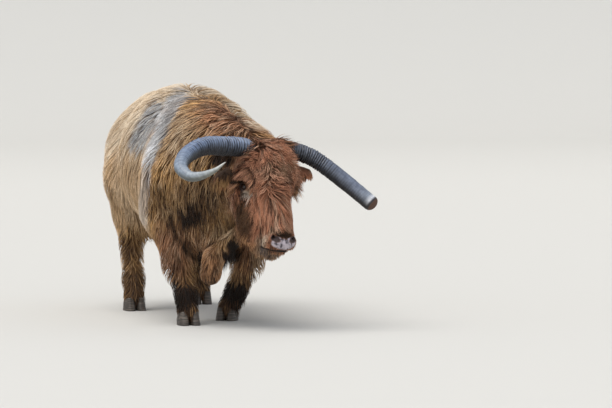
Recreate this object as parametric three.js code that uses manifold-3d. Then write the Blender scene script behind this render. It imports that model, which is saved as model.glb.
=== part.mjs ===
// A life-size highland cow, walking with its head low and turned a little to its left.
// Millimetres, +Z up. The nose points to -Y and the animal's left side is +X. The hooves stand on Z = 0.
// The outline is that of the coat's tips. The body is one smooth field of muscles and folds, which is
// meshed part by part and divided with thin cuts, so that the parts meet face to face.
import * as THREE from 'three';
import { mergeVertices } from 'three/addons/utils/BufferGeometryUtils.js';
import Module from 'manifold-3d';

const wasm = await Module();
wasm.setup();

// ---- Driving dimensions -------------------------------------------------------------------------------

const CUT = 0.4; // width of every cut between two parts
// How softly the muscles run into each other, and into the body.
const BLEND = 90;
const LEG_BLEND = 40;
const DEWLAP_BLEND = 32;
const HEAD_BLEND = 30;
const FACE_BLEND = 26;
const CHIN_BLEND = 12;

const COAT = '#9a6a3c';
const FACE_COAT = '#8a4a2a';
const HORN_GREY = '#6f7684';
const HOOF_GREY = '#3b3733';
const NOSE_PINK = '#b9a3a4';

// The head's own frame: across (to the animal's left), out (away from the face) and along (poll to nose).
const POLL = new THREE.Vector3(205, -550, 960);
const HEAD_AXIS = new THREE.Vector3(0.07, -0.428, -0.902).normalize();
const HEAD_LEFT = new THREE.Vector3(0.95, 0.298, -0.08).projectOnPlane(HEAD_AXIS).normalize();
const HEAD_OUT = new THREE.Vector3().crossVectors(HEAD_AXIS, HEAD_LEFT);
const HEAD_FRAME = new THREE.Matrix4().makeBasis(HEAD_LEFT, HEAD_OUT, HEAD_AXIS).setPosition(POLL);

const EYE = { across: 129, out: -82, along: 197, radius: 20, sides: 12 };
const HORN_BASE_RADIUS = 48;

const KNEE_HEIGHT = 340; // where the upper and the lower leg part, just below the joint
const HOCK_HEIGHT = 432;
const CORONET_HEIGHT = 74; // where the hair ends and the hoof begins, at the toe
const HEEL_HEIGHT = 48;
const HOOF_LENGTH = 132;
const WALL_LEAN = 34; // how far the toe's wall leans back on its way up
const CLAW_WIDTH = 56;
const CLEFT = 7;

// The size of the mesh's cells on each part: fine on the face, coarse on the trunk.
const CELL = { head: 38, muzzle: 22, jaw: 33, neck: 68, dewlap: 36, trunk: 92, leg: 54 };

// ---- Places in the head's frame -----------------------------------------------------------------------

const inHead = (across, out, along) => new THREE.Vector3(across, out, along).applyMatrix4(HEAD_FRAME);

// ---- The field: negative inside the body --------------------------------------------------------------

// Distance to an ellipsoid, near enough for blending. Its axes are the body's, or the head's.
function ellipsoid(centre, radii, frame = null) {
  const toLocal = new THREE.Matrix4();
  if (frame) toLocal.extractRotation(frame).invert();
  const middle = new THREE.Vector3(...centre);
  if (frame) middle.applyMatrix4(frame);
  const [rx, ry, rz] = radii;
  const local = new THREE.Vector3();
  return (p) => {
    local.subVectors(p, middle).applyMatrix4(toLocal);
    const scaled = Math.hypot(local.x / rx, local.y / ry, local.z / rz);
    const steep = Math.hypot(local.x / rx ** 2, local.y / ry ** 2, local.z / rz ** 2);
    return steep < 1e-9 ? -Math.min(rx, ry, rz) : (scaled * (scaled - 1)) / steep;
  };
}

// A limb bone with its flesh: a capsule that tapers from one joint to the next.
function taper(from, fromRadius, to, toRadius) {
  const a = new THREE.Vector3(...from);
  const along = new THREE.Vector3(...to).sub(a);
  const v = new THREE.Vector3();
  return (p) => {
    v.subVectors(p, a);
    const t = THREE.MathUtils.clamp(v.dot(along) / along.lengthSq(), 0, 1);
    return v.addScaledVector(along, -t).length() - THREE.MathUtils.lerp(fromRadius, toRadius, t);
  };
}

// A limb as a chain of joints, each [x, y, z, radius].
const chain = (joints) => joints.slice(1).map((to, i) => {
  const from = joints[i];
  return taper(from.slice(0, 3), from[3], to.slice(0, 3), to[3]);
});

function smoothMin(a, b, k) {
  const h = Math.max(k - Math.abs(a - b), 0) / k;
  return Math.min(a, b) - h * h * k * 0.25;
}

const blended = (fields, k) => (p) => fields.reduce((d, f) => smoothMin(d, f(p), k), 1e6);

// ---- Trunk, neck and dewlap ---------------------------------------------------------------------------

const TRUNK = {
  shoulders: ellipsoid([0, 70, 812], [348, 350, 432]),
  brisket: ellipsoid([0, -110, 545], [185, 225, 195]),
  barrel: ellipsoid([0, 540, 856], [370, 600, 430]),
  hips: ellipsoid([0, 1050, 812], [330, 430, 440]),
  rump: ellipsoid([0, 1290, 940], [250, 215, 245]),
  sheath: ellipsoid([0, 800, 452], [60, 170, 48]),
};

const NECK = {
  crest: ellipsoid([4, -190, 842], [284, 260, 340]),
  middle: ellipsoid([92, -330, 822], [228, 230, 292]),
  nape: ellipsoid([165, -440, 815], [180, 165, 225]),
};

// The dewlap hangs from throat to brisket, and its heavy end swings between the forelegs.
const DEWLAP = chain([
  [150, -500, 575, 46],
  [80, -465, 500, 48],
  [5, -410, 435, 50],
  [-50, -370, 355, 54],
  [-56, -350, 285, 60],
]);
DEWLAP.push(taper([-5, -250, 470, 80], 80, [-30, -320, 385, 60], 60));

// The tail hangs from the dock down the middle, and ends in a long switch.
const TAIL = [[0, 1410, 1120], [2, 1500, 1080], [24, 1540, 930],
  [66, 1536, 700], [96, 1530, 480], [104, 1534, 300]];
const TAIL_FLATNESS = 0.8;

// ---- Legs: the joints of each, from the body down -----------------------------------------------------

const LEGS = {
  right_fore: {
    side: -1, hoof: [-136, -158], heading: 2,
    joints: [[-240, -60, 800, 145], [-232, 25, 600, 128], [-172, -68, 365, 84],
      [-144, -128, 170, 62], [-137, -146, 70, 61]],
    feather: ellipsoid([-176, -44, 305], [84, 98, 112]),
  },
  left_fore: {
    side: 1, hoof: [134, 118], heading: -24,
    joints: [[240, -30, 800, 145], [242, 95, 600, 128], [228, 6, 365, 84],
      [186, 98, 170, 62], [142, 124, 70, 61]],
    feather: ellipsoid([236, 36, 308], [90, 102, 114]),
  },
  right_hind: {
    side: -1, hoof: [-222, 922], heading: 6,
    joints: [[-150, 1120, 900, 190], [-236, 930, 735, 160], [-216, 1085, 505, 84],
      [-215, 985, 170, 62], [-221, 938, 70, 61]],
    feather: ellipsoid([-222, 1040, 560], [96, 118, 130]),
  },
  left_hind: {
    side: 1, hoof: [246, 1318], heading: -6,
    joints: [[150, 1140, 900, 190], [236, 1040, 735, 160], [216, 1330, 510, 84],
      [238, 1368, 170, 62], [244, 1334, 70, 61]],
    feather: ellipsoid([222, 1262, 570], [96, 122, 130]),
  },
};

// ---- Head: the same muscles on both sides -------------------------------------------------------------

const onBothSides = (make) => [-1, 1].map(make);
const headBall = (centre, radii) => ellipsoid(centre, radii, HEAD_FRAME);
const headTaper = (from, fromRadius, to, toRadius) =>
  taper(inHead(...from).toArray(), fromRadius, inHead(...to).toArray(), toRadius);

const HEAD = [
  headBall([0, -50, 64], [156, 122, 110]), // skull under its cap of curls
  headBall([0, 5, 104], [124, 82, 128]), // forehead
  headTaper([0, -20, 210], 102, [0, -42, 445], 86), // bridge of the nose
  ...onBothSides((s) => headBall([s * 78, 0, 36], [80, 80, 82])), // crown, in front of the horn's root
  ...onBothSides((s) => headBall([s * 116, -38, 158], [86, 84, 86])), // brow
  ...onBothSides((s) => headTaper([s * 81, -132, 195], 100, [s * 62, -145, 385], 92)), // cheek
  ...onBothSides((s) => headTaper([s * 46, -165, 290], 90, [s * 42, -208, 430], 94)), // hair of the jaw
];
const MUZZLE = [
  headBall([0, -52, 515], [92, 66, 62]), // upper lip
  headBall([0, -30, 535], [64, 42, 43]), // nose pad
  ...onBothSides((s) => headBall([s * 47, -24, 520], [36, 38, 38])), // wing of each nostril
];
const CHIN = headBall([-4, -136, 508], [62, 56, 60]);

// ---- The whole body -----------------------------------------------------------------------------------

const torso = blended([...Object.values(TRUNK), ...Object.values(NECK)], BLEND);
const limbs = Object.values(LEGS).map((leg) => blended([...chain(leg.joints), leg.feather], LEG_BLEND));
const dewlap = blended(DEWLAP, DEWLAP_BLEND);
const face = blended([...HEAD, ...MUZZLE], FACE_BLEND);

const wholeHead = (p) => smoothMin(face(p), CHIN(p), CHIN_BLEND);

function body(p) {
  let d = torso(p);
  for (const limb of limbs) d = smoothMin(d, limb(p), BLEND);
  d = smoothMin(d, dewlap(p), DEWLAP_BLEND);
  return smoothMin(d, wholeHead(p), HEAD_BLEND);
}

// ---- Meshing: surface nets ----------------------------------------------------------------------------

// Where the inside touches itself only corner to corner across a grid square, two sheets would share
// an edge.
// The weakest of that square's four samples changes sign, until no such square is left.
function untangle(values, [nx, ny, nz], at) {
  const STEPS = [[1, 0, 0], [0, 1, 0], [0, 0, 1]];
  let tangled = true;
  for (let pass = 0; tangled && pass < 20; pass++) {
    tangled = false;
    for (let k = 0; k < nz - 1; k++) for (let j = 0; j < ny - 1; j++) for (let i = 0; i < nx - 1; i++) {
      for (const [u, v] of [[0, 1], [1, 2], [2, 0]]) {
        const a = STEPS[u];
        const b = STEPS[v];
        const square = [at(i, j, k), at(i + a[0], j + a[1], k + a[2]),
          at(i + a[0] + b[0], j + a[1] + b[1], k + a[2] + b[2]), at(i + b[0], j + b[1], k + b[2])];
        const [p, q, r, s] = square.map((n) => values[n] < 0);
        if (p !== r || q !== s || p === q) continue;
        const weakest = square.reduce((w, n) => (Math.abs(values[n]) < Math.abs(values[w]) ? n : w));
        values[weakest] = values[weakest] < 0 ? 0.5 : -0.5;
        tangled = true;
      }
    }
  }
}

// The surface of a field within bounds, closed where they cut it, with one vertex in each cell it crosses.
function surfaceNet(field, bounds, cell) {
  const size = bounds.getSize(new THREE.Vector3());
  const [nx, ny, nz] = size.toArray().map((s) => Math.ceil(s / cell) + 1);
  const at = (i, j, k) => i + nx * (j + ny * k);
  const place = (i, j, k) => new THREE.Vector3(i, j, k).multiplyScalar(cell).add(bounds.min);
  const values = new Float64Array(nx * ny * nz);
  for (let k = 0; k < nz; k++) for (let j = 0; j < ny; j++) for (let i = 0; i < nx; i++) {
    const rim = i === 0 || j === 0 || k === 0 || i === nx - 1 || j === ny - 1 || k === nz - 1;
    const d = field(place(i, j, k));
    values[at(i, j, k)] = rim ? Math.max(d, cell) : d;
  }
  untangle(values, [nx, ny, nz], at);

  const EDGES = [];
  for (let axis = 0; axis < 3; axis++) for (const u of [0, 1]) for (const v of [0, 1]) {
    const from = [0, 0, 0];
    from[(axis + 1) % 3] = u;
    from[(axis + 2) % 3] = v;
    const to = [...from];
    to[axis] = 1;
    EDGES.push([from, to]);
  }

  const vertexOf = new Map();
  const vertices = [];
  for (let k = 0; k < nz - 1; k++) for (let j = 0; j < ny - 1; j++) for (let i = 0; i < nx - 1; i++) {
    const sum = new THREE.Vector3();
    let crossings = 0;
    for (const [a, b] of EDGES) {
      const va = values[at(i + a[0], j + a[1], k + a[2])];
      const vb = values[at(i + b[0], j + b[1], k + b[2])];
      if (va < 0 === vb < 0) continue;
      const start = place(i + a[0], j + a[1], k + a[2]);
      sum.add(start.lerp(place(i + b[0], j + b[1], k + b[2]), va / (va - vb)));
      crossings += 1;
    }
    if (!crossings) continue;
    vertexOf.set(at(i, j, k), vertices.length);
    vertices.push(sum.divideScalar(crossings));
  }

  const triangles = [];
  for (let k = 0; k < nz - 1; k++) for (let j = 0; j < ny - 1; j++) for (let i = 0; i < nx - 1; i++) {
    for (let axis = 0; axis < 3; axis++) {
      const step = [0, 0, 0];
      step[axis] = 1;
      const here = values[at(i, j, k)];
      const there = values[at(i + step[0], j + step[1], k + step[2])];
      if (here < 0 === there < 0) continue;
      const u = [0, 0, 0];
      const v = [0, 0, 0];
      u[(axis + 1) % 3] = 1;
      v[(axis + 2) % 3] = 1;
      const corner = (a, b) => vertexOf.get(at(
        i - a * u[0] - b * v[0], j - a * u[1] - b * v[1], k - a * u[2] - b * v[2]));
      const ring = [corner(1, 1), corner(0, 1), corner(0, 0), corner(1, 0)];
      if (here > 0) ring.reverse();
      const [a, b, c, d] = ring;
      const shortAC = vertices[a].distanceTo(vertices[c]) <= vertices[b].distanceTo(vertices[d]);
      triangles.push(...(shortAC ? [a, b, c, a, c, d] : [a, b, d, b, c, d]));
    }
  }
  return { vertices, triangles };
}

// Moves each vertex along the field's slope, so that it lies on the surface itself.
function settle(vertices, field, cell, bounds) {
  const EPSILON = 0.5;
  const FLATTEST = 0.05; // below this the slope says too little to move along
  const probe = new THREE.Vector3();
  const slope = new THREE.Vector3();
  const inner = bounds.clone().expandByScalar(-1.5 * cell);
  for (const v of vertices) {
    if (!inner.containsPoint(v)) continue;
    for (let pass = 0; pass < 2; pass++) {
      const d = field(v);
      for (const axis of ['x', 'y', 'z']) {
        probe.copy(v)[axis] += EPSILON;
        slope[axis] = (field(probe) - d) / EPSILON;
      }
      if (slope.lengthSq() < FLATTEST) break;
      v.addScaledVector(slope, -THREE.MathUtils.clamp(d, -cell / 3, cell / 3) / slope.lengthSq());
    }
  }
}

// ---- Solids -------------------------------------------------------------------------------------------

function solidOf(vertices, triangles) {
  const vertProperties = new Float32Array(vertices.flatMap((v) => v.toArray()));
  const triVerts = new Uint32Array(triangles);
  return new wasm.Manifold(new wasm.Mesh({ numProp: 3, vertProperties, triVerts }));
}

function solidOfGeometry(geometry) {
  const bare = geometry.index ? geometry.toNonIndexed() : geometry.clone();
  bare.deleteAttribute('normal');
  bare.deleteAttribute('uv');
  const merged = mergeVertices(bare, 1e-3);
  return new wasm.Manifold(new wasm.Mesh({
    numProp: 3,
    vertProperties: new Float32Array(merged.attributes.position.array),
    triVerts: new Uint32Array(merged.index.array),
  }));
}

function largestBody(solid) {
  return solid.decompose().reduce((best, s) => (s.volume() > best.volume() ? s : best));
}

function geometryOf(solid) {
  const mesh = solid.getMesh();
  const positions = [];
  for (let i = 0; i < mesh.numVert; i++) {
    positions.push(...mesh.vertProperties.subarray(i * mesh.numProp, i * mesh.numProp + 3));
  }
  const geometry = new THREE.BufferGeometry();
  geometry.setAttribute('position', new THREE.Float32BufferAttribute(positions, 3));
  geometry.setIndex(new THREE.Uint32BufferAttribute(mesh.triVerts, 1));
  geometry.computeVertexNormals();
  return geometry;
}

// A cut is a plane through a point. Its front lies where the normal points.
const plane = (normal, point) => ({
  normal: new THREE.Vector3(...normal).normalize(),
  point: new THREE.Vector3(...point),
});

// Keeps what lies in front of a cut (side 1) or behind it (side -1), short of it by half its width.
function keep(solid, cut, side, gap = CUT / 2) {
  const normal = cut.normal.clone().multiplyScalar(side);
  return solid.trimByPlane(normal.toArray(), normal.dot(cut.point) + gap);
}

// The flesh within bounds, meshed with cells of one size.
function flesh(bounds, cell, field = body) {
  const { vertices, triangles } = surfaceNet(field, bounds, cell);
  settle(vertices, field, cell, bounds);
  return solidOf(vertices, triangles);
}

const between = (min, max) => new THREE.Box3(new THREE.Vector3(...min), new THREE.Vector3(...max));

// A block from one corner to the other, in the body's frame or the head's.
function block(min, max, frame = null) {
  const bounds = between(min, max);
  const size = bounds.getSize(new THREE.Vector3());
  const centre = bounds.getCenter(new THREE.Vector3());
  const geometry = new THREE.BoxGeometry(...size).translate(...centre);
  return solidOfGeometry(frame ? geometry.applyMatrix4(frame) : geometry);
}

// An egg-shaped cutter in the head's frame.
function egg(centre, radii, segments = 18) {
  const geometry = new THREE.SphereGeometry(1, segments, Math.round(segments / 2)).scale(...radii);
  return solidOfGeometry(geometry.translate(...centre).applyMatrix4(HEAD_FRAME));
}

// A body round a curve: `section(t)` gives its half width along `wide` and its half thickness across it.
// `grow` makes it larger all round, for the room it needs in a neighbour.
function loft(curve, rings, sides, section, wide, grow) {
  const positions = [];
  const poles = [];
  const index = [];
  const across = new THREE.Vector3();
  const up = new THREE.Vector3();
  for (let r = 0; r <= rings; r++) {
    const t = r / rings;
    const tangent = curve.getTangentAt(t);
    const centre = curve.getPointAt(t).addScaledVector(tangent, grow * (2 * t - 1));
    if (r === 0 || r === rings) poles.push(...centre);
    across.copy(wide).projectOnPlane(tangent).normalize();
    up.crossVectors(tangent, across);
    const [halfWidth, halfThickness] = section(t);
    for (let s = 0; s < sides; s++) {
      const angle = (2 * Math.PI * s) / sides;
      positions.push(...centre.clone()
        .addScaledVector(across, (halfWidth + grow) * Math.cos(angle))
        .addScaledVector(up, (halfThickness + grow) * Math.sin(angle)));
    }
  }
  positions.push(...poles);
  const startPole = (rings + 1) * sides;
  for (let s = 0; s < sides; s++) {
    const next = (s + 1) % sides;
    for (let r = 0; r < rings; r++) {
      const a = r * sides + s;
      const b = r * sides + next;
      index.push(a, b, b + sides, a, b + sides, a + sides);
    }
    index.push(startPole, next, s, startPole + 1, rings * sides + s, rings * sides + next);
  }
  const geometry = new THREE.BufferGeometry();
  geometry.setAttribute('position', new THREE.Float32BufferAttribute(positions, 3));
  geometry.setIndex(index);
  return solidOfGeometry(geometry);
}

const curveInHead = (points) =>
  new THREE.CatmullRomCurve3(points.map((p) => inHead(...p)), false, 'centripetal');

// ---- The cuts between the parts -----------------------------------------------------------------------

const NECK_CUT = plane([0.45, -0.87, -0.2], [158, -440, 820]); // head in front, neck behind
const SHOULDER_CUT = plane([0.1, -0.9, 0.42], [0, -205, 800]); // neck in front, trunk behind
const MUZZLE_CUT = plane(HEAD_AXIS.toArray(), inHead(0, 0, 470).toArray());
const MOUTH_CUT = plane(
  new THREE.Vector3(0, -1, -0.06).transformDirection(HEAD_FRAME).toArray(), inHead(0, -88, 540).toArray());
const level = (z) => plane([0, 0, 1], [0, 0, z]);

// The space under the throat, in front of the brisket, where the dewlap hangs.
const dewlapSpace = (grow) => block([-320 - grow, -720, 60], [320 + grow, -236 + grow, 545 + grow]);

const JAW_HINGE = 285; // how far along the head the free part of the lower jaw begins

// The space below the mouth, which the lower jaw fills.
function jawSpace(grow) {
  const space = block([-220, -400, JAW_HINGE - grow], [220, 60, 700], HEAD_FRAME);
  return keep(space, MOUTH_CUT, 1, -grow);
}

// The space of a leg below its armpit: outside and below a slanting plane, between two depths.
const LEG_SPACES = {
  fore: { inside: 72, fromY: -330, toY: 235, armpit: [[100, 348], [0.765, -0.644]] },
  hind: { inside: 42, fromY: 800, toY: 1520, armpit: [[70, 560], [0.70, -0.714]] },
};
function legSpace({ side }, { inside, fromY, toY, armpit }, grow) {
  const [[x, z], [nx, nz]] = armpit;
  const xs = [side * (inside - grow), side * 620].sort((a, b) => a - b);
  const space = block([xs[0], fromY - grow, -60], [xs[1], toY + grow, 1000]);
  return keep(space, plane([side * nx, 0, nz], [side * x, 0, z]), 1, -grow);
}

// ---- Parts --------------------------------------------------------------------------------------------

const cow = new THREE.Group();
function add(name, solid, material) {
  const mesh = new THREE.Mesh(geometryOf(solid), material);
  mesh.name = name;
  cow.add(mesh);
}

const finish = (color, roughness) => new THREE.MeshStandardMaterial({ color, roughness, metalness: 0 });
const coat = finish(COAT, 0.9);
const faceCoat = finish(FACE_COAT, 0.9);
const horn = finish(HORN_GREY, 0.45);
const hoof = finish(HOOF_GREY, 0.6);
const noseSkin = finish(NOSE_PINK, 0.5);
const eyeball = finish('#120d0b', 0.08);

// Horns: the right one curls forward and in to a pale tip, the left one droops to a worn stump.
const HORNS = {
  right_horn: {
    path: [[-95, -28, 0], [-263, -10, 4], [-400, 20, 28], [-538, 60, 105],
      [-620, 120, 208], [-605, 190, 284], [-520, 245, 276], [-448, 280, 232]],
    radius: (t) => HORN_BASE_RADIUS * Math.max(1 - t ** 2.2, 0.003) ** 0.74,
    rings: 22,
  },
  left_horn: {
    path: [[95, -28, -8], [246, -10, 28], [316, 0, 74], [439, 30, 199], [554, 78, 346]],
    radius: (t) => (HORN_BASE_RADIUS - 8 * t) * Math.sqrt(1 - Math.max(0, (t - 0.955) / 0.047) ** 2),
    rings: 15,
  },
};
const HORN_SIDES = 10;
function hornSolid({ path, radius, rings }, grow) {
  return loft(curveInHead(path), rings, HORN_SIDES, (t) => [radius(t), radius(t)], HEAD_OUT, grow);
}
const EARS = {
  right_ear: [[-98, -90, 100], [-176, -122, 108], [-230, -148, 122], [-272, -166, 144]],
  left_ear: [[98, -84, 96], [182, -96, 98], [244, -90, 104], [296, -66, 120]],
};
const EAR_RINGS = 7;
const EAR_SIDES = 8;
function earSection(t) {
  const width = Math.sin(Math.PI * Math.min(1, 0.12 + 0.86 * t)) ** 0.8; // a leaf, widest before its middle
  return [18 + 44 * width, 7 + 14 * (1 - t)];
}
const earSolid = (path, grow) => loft(curveInHead(path), EAR_RINGS, EAR_SIDES, earSection, HEAD_AXIS, grow);

// Horns and ears are set into the head, so its flesh makes room for their roots.
function makeRoom(solid) {
  let left = solid;
  for (const description of Object.values(HORNS)) left = left.subtract(hornSolid(description, CUT));
  for (const path of Object.values(EARS)) left = left.subtract(earSolid(path, CUT));
  return left;
}

// The hollow before each eye is a cone that opens along its gaze. The nostrils are eggs.
const GAZE = [0.75, 0.62, 0.2]; // across, out and along, of the left eye
const HOLLOW = { radius: 23, mouth: 46, length: 120, sides: 14 };
const NOSTRIL = { centre: [46, 4, 548], radii: [12, 16, 22], sides: 12 };
function eyeHollow(s) {
  const { radius, mouth, length, sides } = HOLLOW;
  const cone = new THREE.CylinderGeometry(mouth, radius, length, sides).translate(0, length / 2, 0);
  const gaze = new THREE.Vector3(s * GAZE[0], GAZE[1], GAZE[2]).normalize();
  cone.applyQuaternion(new THREE.Quaternion().setFromUnitVectors(new THREE.Vector3(0, 1, 0), gaze));
  return solidOfGeometry(cone.translate(s * EYE.across, EYE.out, EYE.along).applyMatrix4(HEAD_FRAME));
}
const eyeBall = (s, grow) => egg(
  [s * EYE.across, EYE.out, EYE.along], Array(3).fill(EYE.radius + grow), EYE.sides);
function nostrilEgg(s) {
  const [across, out, along] = NOSTRIL.centre;
  return egg([s * across, out, along], NOSTRIL.radii, NOSTRIL.sides);
}

function buildHead() {
  const headBounds = between([-110, -880, 300], [520, -330, 1110]);
  let head = makeRoom(keep(flesh(headBounds, CELL.head), NECK_CUT, 1));
  for (const hollow of [...onBothSides(eyeHollow), ...onBothSides((s) => eyeBall(s, CUT))]) {
    head = head.subtract(hollow);
  }

  const muzzleBounds = between([90, -910, 320], [410, -590, 630]);
  let muzzle = keep(flesh(muzzleBounds, CELL.muzzle, wholeHead), MUZZLE_CUT, 1);
  muzzle = muzzle.subtract(jawSpace(CUT / 2));
  for (const nostril of onBothSides(nostrilEgg)) muzzle = muzzle.subtract(nostril);

  const jawBounds = between([-40, -880, 290], [420, -440, 780]);
  const jaw = keep(flesh(jawBounds, CELL.jaw, wholeHead), NECK_CUT, 1).intersect(jawSpace(-CUT / 2));

  head = keep(head.subtract(jawSpace(CUT / 2)), MUZZLE_CUT, -1);
  add('head', largestBody(head), faceCoat);
  add('muzzle', largestBody(muzzle), noseSkin);
  add('lower_jaw', largestBody(jaw), faceCoat);

  for (const [name, path] of Object.entries(EARS)) add(name, earSolid(path, 0), faceCoat);
  for (const [name, description] of Object.entries(HORNS)) {
    add(name, hornSolid(description, 0), horn);
  }
  for (const [name, s] of [['right_eye', -1], ['left_eye', 1]]) add(name, eyeBall(s, 0), eyeball);
}

function buildTorso() {
  const neckBounds = between([-420, -760, 320], [460, 160, 1340]);
  const neckFlesh = keep(keep(flesh(neckBounds, CELL.neck), NECK_CUT, -1), SHOULDER_CUT, 1);
  add('neck', largestBody(makeRoom(neckFlesh.subtract(dewlapSpace(CUT / 2)))), coat);

  const dewlapBounds = between([-340, -660, 120], [340, -60, 620]);
  const hanging = keep(flesh(dewlapBounds, CELL.dewlap), NECK_CUT, -1).intersect(dewlapSpace(-CUT / 2));
  add('dewlap', largestBody(hanging), coat);

  const trunkBounds = between([-520, -420, 260], [520, 1620, 1380]);
  let trunk = keep(flesh(trunkBounds, CELL.trunk), SHOULDER_CUT, -1).subtract(dewlapSpace(CUT / 2));
  for (const [name, leg] of Object.entries(LEGS)) {
    trunk = trunk.subtract(legSpace(leg, LEG_SPACES[name.split('_')[1]], CUT / 2));
  }
  add('tail', tailSolid(0), coat);
  add('trunk', largestBody(trunk.subtract(tailSolid(CUT))), coat);
}

// The tail is thick at its dock, thin in the middle, full in the switch and drawn to a point.
function tailSection(t) {
  const dock = 16 * (1 - t) ** 3;
  const switchHair = 40 * Math.exp(-(((t - 0.76) / 0.17) ** 2));
  const radius = 24 + dock + switchHair - 34 * t ** 14;
  return [radius, TAIL_FLATNESS * radius];
}
function tailSolid(grow) {
  const RINGS = 15;
  const SIDES = 8;
  const line = new THREE.CatmullRomCurve3(TAIL.map((p) => new THREE.Vector3(...p)));
  return loft(line, RINGS, SIDES, tailSection, new THREE.Vector3(1, 0, 0), grow);
}

// Each foot stands on two claws. The sole is flat, the wall leans back and the top slopes to the heel.
function clawGeometry(outwards) {
  const SIDES = 12;
  const LAYERS = [0, 0.5, 1];
  const SQUARENESS = 0.6; // a power below 1 makes the claw's rounded outline squarer
  const NARROWING = 0.1; // how much narrower the claw is at its top
  const positions = [];
  const index = [];
  for (const rise of LAYERS) for (let s = 0; s < SIDES; s++) {
    const angle = (2 * Math.PI * s) / SIDES;
    const round = Math.sign(Math.sin(angle)) * Math.abs(Math.sin(angle)) ** SQUARENESS;
    const x = CLEFT / 2 + CLAW_WIDTH * (0.5 + 0.5 * round) * (1 - NARROWING * rise);
    const toeward = 0.5 - 0.5 * Math.cos(angle); // 0 at the heel, 1 at the toe
    const y = HOOF_LENGTH * (0.5 - toeward) + WALL_LEAN * rise * toeward;
    const top = THREE.MathUtils.lerp(HEEL_HEIGHT, CORONET_HEIGHT, toeward) - CUT;
    positions.push(outwards * x, y, top * rise);
  }
  const ring = (layer, s) => layer * SIDES + (s % SIDES);
  for (let s = 0; s < SIDES; s++) {
    for (let layer = 0; layer < LAYERS.length - 1; layer++) {
      index.push(ring(layer, s), ring(layer + 1, s + 1), ring(layer, s + 1));
      index.push(ring(layer, s), ring(layer + 1, s), ring(layer + 1, s + 1));
    }
  }
  for (let s = 1; s < SIDES - 1; s++) {
    index.push(0, s, s + 1);
    index.push(ring(2, 0), ring(2, s + 1), ring(2, s));
  }
  if (outwards < 0) index.reverse();
  const geometry = new THREE.BufferGeometry();
  geometry.setAttribute('position', new THREE.Float32BufferAttribute(positions, 3));
  geometry.setIndex(index);
  return geometry;
}

function buildLeg(name, leg) {
  const kind = name.split('_')[1];
  const footFrame = new THREE.Matrix4().makeRotationZ(THREE.MathUtils.degToRad(leg.heading));
  footFrame.setPosition(leg.hoof[0], leg.hoof[1], 0);
  const slope = (CORONET_HEIGHT - HEEL_HEIGHT) / (HOOF_LENGTH - WALL_LEAN);
  const coronet = plane(
    new THREE.Vector3(0, slope, 1).transformDirection(footFrame).toArray(),
    new THREE.Vector3(0, HOOF_LENGTH / 2, HEEL_HEIGHT).applyMatrix4(footFrame).toArray());

  const ROOM = 230; // from the joints to the edge of the meshed space
  const joints = leg.joints.map((j) => new THREE.Vector3(...j));
  const legBounds = new THREE.Box3().setFromPoints(joints.slice(1)).expandByScalar(ROOM);
  legBounds.max.z = 1010;
  legBounds.min.z = -20;
  const whole = flesh(legBounds, CELL.leg).intersect(legSpace(leg, LEG_SPACES[kind], -CUT / 2));
  const middle = level(kind === 'fore' ? KNEE_HEIGHT : HOCK_HEIGHT);
  add(`${name}_upper_leg`, largestBody(keep(whole, middle, 1)), coat);
  add(`${name}_lower_leg`, largestBody(keep(keep(whole, middle, -1), coronet, 1)), coat);

  for (const [label, outwards] of [['outer', leg.side], ['inner', -leg.side]]) {
    const mesh = new THREE.Mesh(clawGeometry(outwards), hoof);
    mesh.name = `${name}_${label}_claw`;
    mesh.applyMatrix4(footFrame);
    cow.add(mesh);
  }
}

buildHead();
buildTorso();
for (const [name, leg] of Object.entries(LEGS)) buildLeg(name, leg);

// The part's origin is on the floor below the middle of its bounding box.
cow.updateMatrixWorld(true);
const bounds = new THREE.Box3().setFromObject(cow, true);
const centre = bounds.getCenter(new THREE.Vector3());
cow.position.set(-centre.x, -centre.y, -bounds.min.z);

export default cow;
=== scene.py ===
"""A life-size highland bull in mid-step, as in a museum: a hide over its muscles and a coat of locks."""

import math

import bmesh
import bpy
import numpy as np
from mathutils import Matrix, Vector, kdtree


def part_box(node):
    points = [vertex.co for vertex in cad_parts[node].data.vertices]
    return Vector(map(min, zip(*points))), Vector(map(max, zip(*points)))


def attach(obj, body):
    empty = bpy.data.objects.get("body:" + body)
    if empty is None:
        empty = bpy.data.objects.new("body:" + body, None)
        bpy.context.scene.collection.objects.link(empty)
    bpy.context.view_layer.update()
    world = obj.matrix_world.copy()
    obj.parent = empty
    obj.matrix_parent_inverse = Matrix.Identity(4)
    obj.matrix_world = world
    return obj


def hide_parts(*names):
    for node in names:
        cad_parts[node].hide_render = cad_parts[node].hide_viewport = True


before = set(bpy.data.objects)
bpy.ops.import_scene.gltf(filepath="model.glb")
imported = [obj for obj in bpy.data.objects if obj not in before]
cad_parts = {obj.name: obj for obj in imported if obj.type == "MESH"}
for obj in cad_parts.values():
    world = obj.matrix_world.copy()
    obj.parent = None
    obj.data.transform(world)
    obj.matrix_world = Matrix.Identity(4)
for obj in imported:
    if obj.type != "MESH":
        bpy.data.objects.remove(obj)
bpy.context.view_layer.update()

# ---- The hide ------------------------------------------------------------------------------------
# The animal's tanned skin, one closed sheet from the lips to the tail, stretched over its muscles and closed
# at the hooves. The eyes, horns and claws are set in it, and the long coat lies over it. All in metres: the
# nose points to -Y, the animal's left is +X and the floor is Z = 0.

BODY_CELL, HEAD_CELL = 0.014, 0.0042  # how fine the sheet is
SOFT_BODY, SOFT_LEG, SOFT_FACE = 0.090, 0.040, 0.026  # how widely the creases between muscles are filled

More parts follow.
